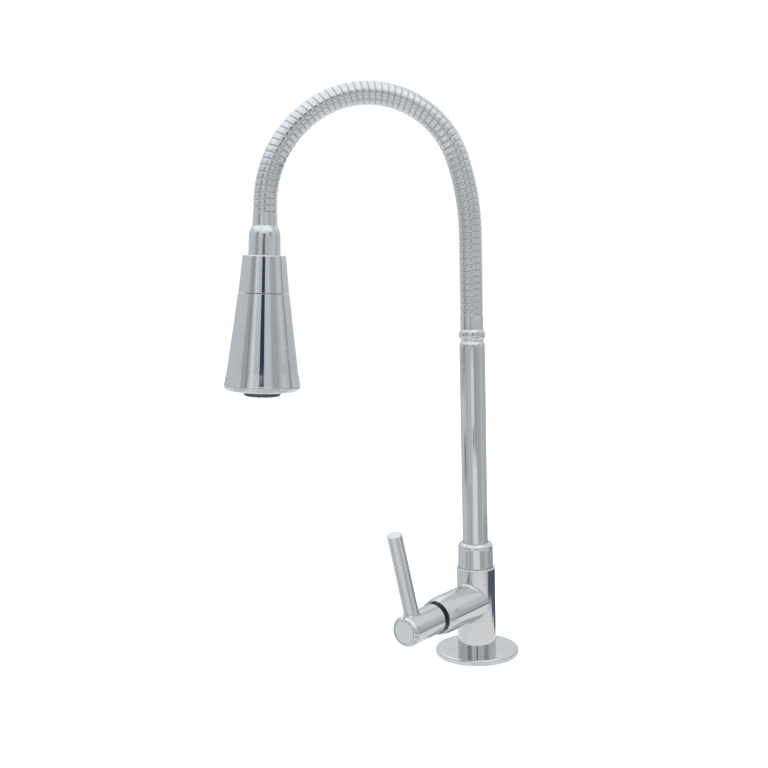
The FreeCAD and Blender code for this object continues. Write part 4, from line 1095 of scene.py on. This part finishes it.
@dataclass(frozen=True)
class Column:
    """Body, collar, riser and the crimped foot of the spout."""

    collar_r: tuple[float, float] = (13.45, 13.15)
    collar_z: tuple[float, float, float, float] = (60.8, 67.6, 82.2, 86.2)
    collar_thread_r: float = 12.6
    collar_arc: Arc = (12.4, 85.1, 10.6, 86.2)
    collar_lip_r: float = 9.75
    collar_edges: tuple[float, float, float] = (0.3, 0.5, 0.35)
    bush_r: float = 11.3
    bush_top: float = 83.4
    riser_r: float = 9.6
    riser_bore_r: float = 7.0
    riser_z: tuple[float, float, float] = (50.8, 234.4, 238.3)
    riser_arc: Arc = (9.32, 236.7, 8.45, 238.3)
    riser_top_r: float = 8.45
    riser_edge: float = 0.4
    flange: tuple[float, float, float] = (12.3, 57.05, 59.25)
    flange_edge: float = 0.2
    bead_foot: float = 239.2
    bead_arcs: tuple[Arc, ...] = ((9.35, 240.9, 9.83, 242.9), (9.53, 245.0, 9.13, 246.4),
                                  (8.72, 246.9, 8.58, 247.4))
    bead_top: float = 247.4
    ferrule_r: float = 8.58
    ferrule_bore_r: float = 7.35
    ferrule_end: float = 257.8
    ferrule_edge: float = 0.4
    tip_bottom: float = 222.0
    tip_bore_r: float = 3.4
    barb_r: float = 4.4
    barb_z: tuple[float, float] = (250.6, 266.6)
    barb_edge: float = 0.4

    def build(self, shop: Workshop) -> None:
        """Make the collar, riser, tip and ferrule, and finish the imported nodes.

        Args:
            shop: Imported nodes, finishes and the list of pieces.
        """
        shop.dress(Finish.BODY, "tap_body")
        shop.dress(Finish.WHITE, "slip_washer", "swivel_bush")
        shop.dress(Finish.RUBBER, "riser_o_rings")
        outer = (("collar_ring", self._collar(), "base_unit", "swivel_collar"),
                 ("riser_pipe", self._riser(), "riser", "riser_tube"),
                 ("riser_bead", self._tip(), "riser", "riser_tip"),
                 ("spout_ferrule", self._ferrule(), "riser", "hose_ferrule"))
        for name, outline, body, node in outer:
            shop.add(turned(name, outline, UPRIGHT, shop.palette[Finish.BODY]), body, "polished_chrome", node)

    def _collar(self) -> Outline:
        """Collar: plain side, rounded shoulder and a small lip round the riser.

        Returns:
            Its outline.
        """
        skirt, bottom, shoulder, top = self.collar_z
        low_r, high_r = self.collar_r
        skirt_edge, side_edge, lip_edge = self.collar_edges
        return (Outline(self.bush_r, skirt).to(self.collar_thread_r, skirt, skirt_edge)
                .to(self.collar_thread_r, bottom).to(low_r, bottom, side_edge).to(high_r, shoulder)
                .bow(self.collar_arc).to(self.collar_lip_r, top, lip_edge)
                .to(self.collar_lip_r, self.bush_top).to(self.bush_r, self.bush_top))

    def _riser(self) -> Outline:
        """Riser with its bearing flange and rounded upper end.

        Returns:
            Its outline.
        """
        low, shoulder, top = self.riser_z
        flange_r, flange_low, flange_high = self.flange
        return (Outline(self.riser_bore_r, low).to(self.riser_r, low, self.riser_edge)
                .to(self.riser_r, flange_low).to(flange_r, flange_low, self.flange_edge)
                .to(flange_r, flange_high, self.flange_edge).to(self.riser_r, flange_high)
                .to(self.riser_r, shoulder).bow(self.riser_arc).to(self.riser_bore_r, top))

    def _tip(self) -> Outline:
        """Turned tip: neck, bead and the barb inside the spout.

        Returns:
            Its outline.
        """
        barb_low, barb_high = self.barb_z
        top = self.riser_z[2]
        return (Outline(self.tip_bore_r, self.tip_bottom).to(self.riser_bore_r, self.tip_bottom)
                .to(self.riser_bore_r, top).to(self.riser_top_r, top).to(self.riser_top_r, self.bead_foot)
                .bow(*self.bead_arcs).to(self.ferrule_bore_r, self.bead_top)
                .to(self.ferrule_bore_r, barb_low).to(self.barb_r, barb_low)
                .to(self.barb_r, barb_high, self.barb_edge).to(self.tip_bore_r, barb_high))

    def _ferrule(self) -> Outline:
        """Crimped ring at the foot of the spout.

        Returns:
            Its outline.
        """
        low, high = self.bead_top, self.ferrule_end
        return (Outline(self.ferrule_bore_r, low).to(self.ferrule_r, low)
                .to(self.ferrule_r, high, self.ferrule_edge).to(self.ferrule_bore_r, high))


@dataclass(frozen=True)
class Route:
    """Centre line of the bendable spout: straight ends and three arcs, in the plane x = 0."""

    start_z: float = 257.8
    straight: float = 58.5
    radii: tuple[float, ...] = (184.0, 68.6, 82.0)
    degrees: tuple[float, ...] = (17.4, 101.8, 57.8)
    end_run: float = 7.8

    def length(self) -> float:
        """Length of the spout between the ferrule and the bell."""
        arcs = sum(radius * math.radians(angle) for radius, angle in zip(self.radii, self.degrees))
        return self.straight + arcs + self.end_run

    def at(self, distance: float) -> tuple[Vector, Vector]:
        """Point and heading on the centre line.

        Args:
            distance: Distance along it from the ferrule, in millimetres.

        Returns:
            The point in millimetres and the heading.
        """
        point = Vector((0.0, 0.0, self.start_z + min(distance, self.straight)))
        heading = math.pi / 2.0
        left = distance - self.straight
        for radius, angle in zip(self.radii, self.degrees):
            turn = min(max(left, 0.0) / radius, math.radians(angle))
            after = heading - turn
            rise = math.cos(after) - math.cos(heading)
            point += radius * Vector((0.0, math.sin(after) - math.sin(heading), rise))
            heading = after
            left -= radius * turn
        way = Vector((0.0, -math.cos(heading), math.sin(heading)))
        return point + way * max(left, 0.0), way


@dataclass(frozen=True)
class Spout:
    """Ribbed spout: a strip wound in ten lengths over a liner in lengths along its centre line."""

    route: Route = Route()
    sections: int = 10
    turns: int = 7
    rib_r: float = 8.35
    rib_width: float = 3.9
    end_play: float = 0.05
    lead: float = 0.3
    seam: float = 0.004
    rib_root_r: float = 7.35
    edge: float = 0.3
    edge_degrees: tuple[float, ...] = (30.0, 60.0, 90.0)
    flat_share: float = 0.45
    liner_r: float = 7.85
    liner_bore_r: float = 7.0
    liner_rings: int = 2
    steps: int = 60

    def build(self, shop: Workshop) -> None:
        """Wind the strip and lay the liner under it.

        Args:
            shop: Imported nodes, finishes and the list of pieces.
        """
        for number in range(1, self.sections + 1):
            strip = self._strip(number, shop.palette[Finish.HOSE])
            shop.add(strip, self.body(number), "hose_chrome", f"hose_section_{number:02d}")
        self._liners(shop)

    def body(self, number: int) -> str:
        """Body that a length of the spout moves with.

        Args:
            number: Number of the length, from 1 at the ferrule.

        Returns:
            Name of the body.
        """
        if number == 1:
            return "riser"
        return "hose_end" if number == self.sections else f"hose_{number}"

    def pitch(self) -> float:
        """Distance from one rib to the next."""
        return self.route.length() / (self.sections * self.turns)

    def _profile(self) -> list[Point]:
        """Cross-section of the strip.

        Returns:
            Points as distance along the spout and radius.
        """
        half = self.rib_width / 2.0
        side = [(half, self.rib_root_r), (half, self.rib_r - self.edge)]
        for angle in map(math.radians, self.edge_degrees):
            across, down = self.edge * (1.0 - math.cos(angle)), self.edge * (1.0 - math.sin(angle))
            side.append((half - across, self.rib_r - down))
        side.append((self.flat_share * half, self.rib_r))
        mirrored = [(-along, radius) for along, radius in reversed(side)]
        return [*side, (0.0, self.rib_r), *mirrored]

    def _strip(self, number: int, finish: bpy.types.Material) -> bpy.types.Object:
        """Wind one length of strip; the first and last run out under the end pieces.

        Args:
            number: Number of the length, from 1 at the ferrule.
            finish: Material of the strip.

        Returns:
            The new piece.
        """
        pitch, length = self.pitch(), self.route.length()
        first, last = (number - 1) * self.turns, number * self.turns
        begin = first - self.lead if number == 1 else first + self.seam
        finish_at = last + self.lead if number == self.sections else last - self.seam
        count = round((finish_at - begin) * self.steps)
        profile = self._profile()
        points: list[Vector] = []
        for k in range(count + 1):
            wound = begin + (finish_at - begin) * k / count
            turn = math.tau * wound + math.pi
            for along, radius in profile:
                reach = min(max(wound * pitch + along, self.end_play), length - self.end_play)
                points.append(Axis(*self.route.at(reach)).place(radius, turn, 0.0))
        width = len(profile)
        faces = ring_faces(count + 1, width, False)
        faces += [list(range(width)), list(range(count * width, (count + 1) * width))]
        return mesh_object(f"wound_strip_{number:02d}", points, faces, finish)

    def _tube(self, name: str, start: float, end: float, finish: bpy.types.Material) -> bpy.types.Object:
        """Thin tube along the centre line.

        Args:
            name: Name of the piece.
            start: Distance of its start along the centre line.
            end: Distance of its end.
            finish: Material of the tube.

        Returns:
            The new piece.
        """
        count = max(2, round((end - start) / self.pitch() * self.liner_rings))
        points: list[Vector] = []
        for radius, order in ((self.liner_r, range(count + 1)), (self.liner_bore_r, range(count, -1, -1))):
            for k in order:
                axis = Axis(*self.route.at(start + (end - start) * k / count))
                points += axis.ring(radius, 0.0, PLAIN_TURN)
        return mesh_object(name, points, ring_faces(2 * (count + 1), PLAIN_TURN, True), finish)

    def _liners(self, shop: Workshop) -> None:
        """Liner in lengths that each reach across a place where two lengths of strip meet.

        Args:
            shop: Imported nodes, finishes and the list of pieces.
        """
        stretch = self.route.length() / self.sections
        # The liner's darker metal paints shade into the grooves between the ribs.
        finish = shop.palette[Finish.GROOVE_SHADE]
        halves = [0.0] + [stretch * (k + 0.5) for k in range(self.sections)] + [self.route.length()]
        for k, (start, end) in enumerate(zip(halves, halves[1:])):
            liner = self._tube(f"spout_liner_{k + 1:02d}", start, end, finish)
            if 0 < k < self.sections:
                middle, way = self.route.at(stretch * k)
                low, high = (middle - way * self.pitch()) * MM, (middle + way * self.pitch()) * MM
                self.body(k)
                self.body(k + 1)
                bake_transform(liner)
                shop.note(liner, "hose_chrome", "inner_tube")
            else:
                shop.add(liner, self.body(max(k, 1)), "hose_chrome", "inner_tube")


@dataclass(frozen=True)
class SprayHead:
    """Bell, ball joint and the two cones of the spray head, drawn downward from the bell's rim."""

    bell_rim_r: float = 8.54
    bell_neck: tuple[float, float] = (8.86, 8.8)
    bell_arcs: tuple[Arc, ...] = ((9.14, 9.9, 9.86, 11.0), (10.8, 13.6, 11.25, 16.8))
    bell_end: tuple[float, float] = (11.62, 34.5)
    bell_bore: tuple[float, float, float] = (7.55, 6.9, 7.5)
    bell_rim_edge: float = 0.25
    bell_end_round: float = 0.7
    crimp_end: float = 9.05
    thread_start: float = 20.0
    head_top: float = 30.4
    head_top_r: float = 15.5
    head_top_round: float = 1.5
    opening_r: float = 13.5
    opening_edge: float = 0.5
    ledge: tuple[float, float, float] = (12.5, 37.5, 41.0)
    core_r: float = 14.6
    seam_at: float = 57.4
    seam_gap: float = 0.4
    seam_r: tuple[float, float] = (18.22, 18.42)
    seam_edge: float = 0.16
    mid: tuple[float, float] = (24.9, 106.1)
    flare_arcs: tuple[Arc, ...] = ((26.1, 115.4, 27.65, 123.1), (27.9, 124.7, 27.35, 126.2),
                                   (26.5, 127.35, 25.0, 128.1))
    cone_end: float = 128.1
    lip_edge: float = 0.3
    wall: float = 2.2
    bearing_r: float = 13.1
    bearing_end: float = 63.0
    web: tuple[float, float] = (97.0, 100.0)
    plate_top: float = 113.5
    plate_seat: tuple[float, float] = (20.0, 110.5)
    plate_r: float = 22.4
    ring_bore_r: float = 14.1
    ring_top: float = 124.0
    ring_fit: float = 0.02
    ring_sink: float = 0.05
    ring_edge: float = 0.25
    ring_bore_round: float = 0.6
    face_r: float = 13.7
    face_flange_r: float = 17.5
    face_top: float = 121.0
    face_end: float = 132.2
    face_bore_r: float = 6.3
    face_flange_edge: float = 0.2
    face_round: float = 2.0
    face_bore_edge: float = 0.4
    nozzle_rows: tuple[tuple[float, int], ...] = ((8.4, 10), (11.0, 14))
    nub_r: tuple[float, float] = (1.15, 0.85)
    nub_hole_r: tuple[float, float] = (0.5, 0.42)
    nub_at: tuple[float, float, float] = (-0.4, -0.2, 0.2)
    nub_edges: tuple[float, float] = (0.1, 0.05)
    nub_segments: int = 20

    def build(self, shop: Workshop, route: Route) -> None:
        """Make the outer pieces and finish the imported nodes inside.

        Args:
            shop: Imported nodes, finishes and the list of pieces.
            route: Centre line whose end carries the head.
        """
        axis = Axis(*route.at(route.length()))
        bell = turned("spout_bell", self._bell(), axis, shop.palette[Finish.BODY])
        shop.add(bell, "hose_end", "polished_chrome", "hose_bell")
        outer = (("upper_cone_shell", self._upper(), "spray_head", "head_upper_cone"),
                 ("lower_cone_shell", self._lower(), "spray_nozzle", "head_lower_cone"),
                 ("face_trim_ring", self._ring(), "spray_nozzle", "face_ring"))
        for name, outline, body, node in outer:
            shop.add(turned(name, outline, axis, shop.palette[Finish.HEAD]), body, "head_chrome", node)
        shop.add(self._face(axis, shop.palette[Finish.FACE]), "spray_nozzle", "black_rubber", "spray_face")
        shop.dress(Finish.BRASS, "swivel_ball")
        shop.dress(Finish.WHITE, "socket_cap", "socket_cup")
        shop.dress(Finish.RUBBER, "swivel_seal", "spray_o_ring")
        shop.dress(Finish.STEEL, "strainer", "jet_ring_clip")
        shop.dress(Finish.GREY, "head_core", "spray_plate", "stream_aerator")

    def _bell(self) -> Outline:
        """Bell: straight neck, rounded shoulder and slightly tapered skirt.

        Returns:
            Its outline.
        """
        crimp_r, bore_r, thread_r = self.bell_bore
        return (Outline(crimp_r, 0.0).to(self.bell_rim_r, 0.0, self.bell_rim_edge).to(*self.bell_neck)
                .bow(*self.bell_arcs).to(*self.bell_end, self.bell_end_round)
                .to(thread_r, self.bell_end[1]).to(thread_r, self.thread_start)
                .to(bore_r, self.thread_start).to(bore_r, self.crimp_end).to(crimp_r, self.crimp_end))

    def _upper(self) -> Outline:
        """Upper cone with its rounded top rim round the opening.

        Returns:
            Its outline.
        """
        ledge_r, ledge_top, ledge_bottom = self.ledge
        return (Outline(self.opening_r, self.head_top, self.opening_edge)
                .to(self.head_top_r, self.head_top, self.head_top_round)
                .to(self.seam_r[0], self.seam_at, self.seam_edge).to(self.core_r, self.seam_at)
                .to(self.core_r, ledge_bottom).to(ledge_r, ledge_bottom).to(ledge_r, ledge_top)
                .to(self.opening_r, ledge_top))

    def _lower(self) -> Outline:
        """Lower cone: tapered side, flared end and a lip turned under.

        Returns:
            Its outline.
        """
        top = self.seam_at + self.seam_gap
        mid_r, mid_at = self.mid
        web_top, web_bottom = self.web
        seat_r, seat_top = self.plate_seat
        return (Outline(self.bearing_r, top).to(self.seam_r[1], top, self.seam_edge).to(mid_r, mid_at)
                .bow(*self.flare_arcs).to(self.plate_r, self.cone_end, self.lip_edge)
                .to(self.plate_r, self.plate_top).to(seat_r, self.plate_top).to(seat_r, seat_top)
                .to(mid_r - self.wall, mid_at).to(self._inside(web_bottom), web_bottom)
                .to(self.bearing_r, web_bottom).to(self.bearing_r, web_top).to(self._inside(web_top), web_top)
                .to(self._inside(self.bearing_end), self.bearing_end).to(self.bearing_r, self.bearing_end))

    def _inside(self, at: float) -> float:
        """Inside radius of the lower cone.

        Args:
            at: Distance down the axis from the bell's rim.

        Returns:
            The radius in millimetres.
        """
        top = self.seam_at + self.seam_gap
        share = (at - top) / (self.mid[1] - top)
        return self.seam_r[1] + share * (self.mid[0] - self.seam_r[1]) - self.wall

    def _ring(self) -> Outline:
        """Trim ring round the rubber face.

        Returns:
            Its outline.
        """
        outer_r, end = self.plate_r - self.ring_fit, self.cone_end - self.ring_sink
        return (Outline(self.ring_bore_r, self.ring_top).to(outer_r, self.ring_top)
                .to(outer_r, end, self.ring_edge).to(self.ring_bore_r, end, self.ring_bore_round))

    def _face(self, axis: Axis, finish: bpy.types.Material) -> bpy.types.Object:
        """Rubber face with two rows of small nozzles.

        Args:
            axis: Axis of the head.
            finish: Material of the face.

        Returns:
            The new piece.
        """
        flange_r, flange_edge = self.face_flange_r, self.face_flange_edge
        outline = (Outline(self.face_bore_r, self.face_top).to(flange_r, self.face_top, flange_edge)
                   .to(flange_r, self.ring_top, flange_edge).to(self.face_r, self.ring_top)
                   .to(self.face_r, self.face_end, self.face_round)
                   .to(self.face_bore_r, self.face_end, self.face_bore_edge))
        pieces = [turned("rubber_face", outline, axis, finish)]
        side, other = axis.sides()
        foot_at, hole_at, top_at = (self.face_end + at for at in self.nub_at)
        outer_edge, hole_edge = self.nub_edges
        nub = (Outline(0.0, foot_at).to(self.nub_r[0], foot_at).to(self.nub_r[1], top_at, outer_edge)
               .to(self.nub_hole_r[0], top_at, hole_edge).to(self.nub_hole_r[1], hole_at)
               .to(0.0, hole_at))
        for radius, count in self.nozzle_rows:
            for k in range(count):
                angle = math.tau * (k + 0.5) / count
                foot = axis.origin + side * (radius * math.cos(angle)) + other * (radius * math.sin(angle))
                pieces.append(turned("nozzle", nub, Axis(foot, axis.along), finish, self.nub_segments))
        return joined("rubber_face", pieces)


def clear_defaults() -> None:
    """Remove what a new Blender file starts with."""
    for name in ("Cube", "Camera", "Light"):
        found = bpy.data.objects.get(name)
        if found is not None:
            bpy.data.objects.remove(found)


def main() -> None:
    """Build the looks in order."""
    logging.basicConfig(level=logging.INFO, format="%(message)s")
    clear_defaults()
    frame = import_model()
    Studio().build()
    shop = Workshop(frame["nodes"], Palette())
    spout = Spout()
    steps: tuple[tuple[str, Callable[[], None]], ...] = (
        ("worktop fixing", lambda: DeckFixing().build(shop)),
        ("valve", lambda: Valve().build(shop)),
        ("handle", lambda: Handle().build(shop)),
        ("body and riser", lambda: Column().build(shop)),
        ("ribbed spout", lambda: spout.build(shop)),
        ("spray head", lambda: SprayHead().build(shop, spout.route)),
    )
    for title, build in steps:
        before = len(shop.made)
        build()
        LOG.info("%s: %s", title, ", ".join(shop.made[before:]))


if __name__ == "__main__":
    main()
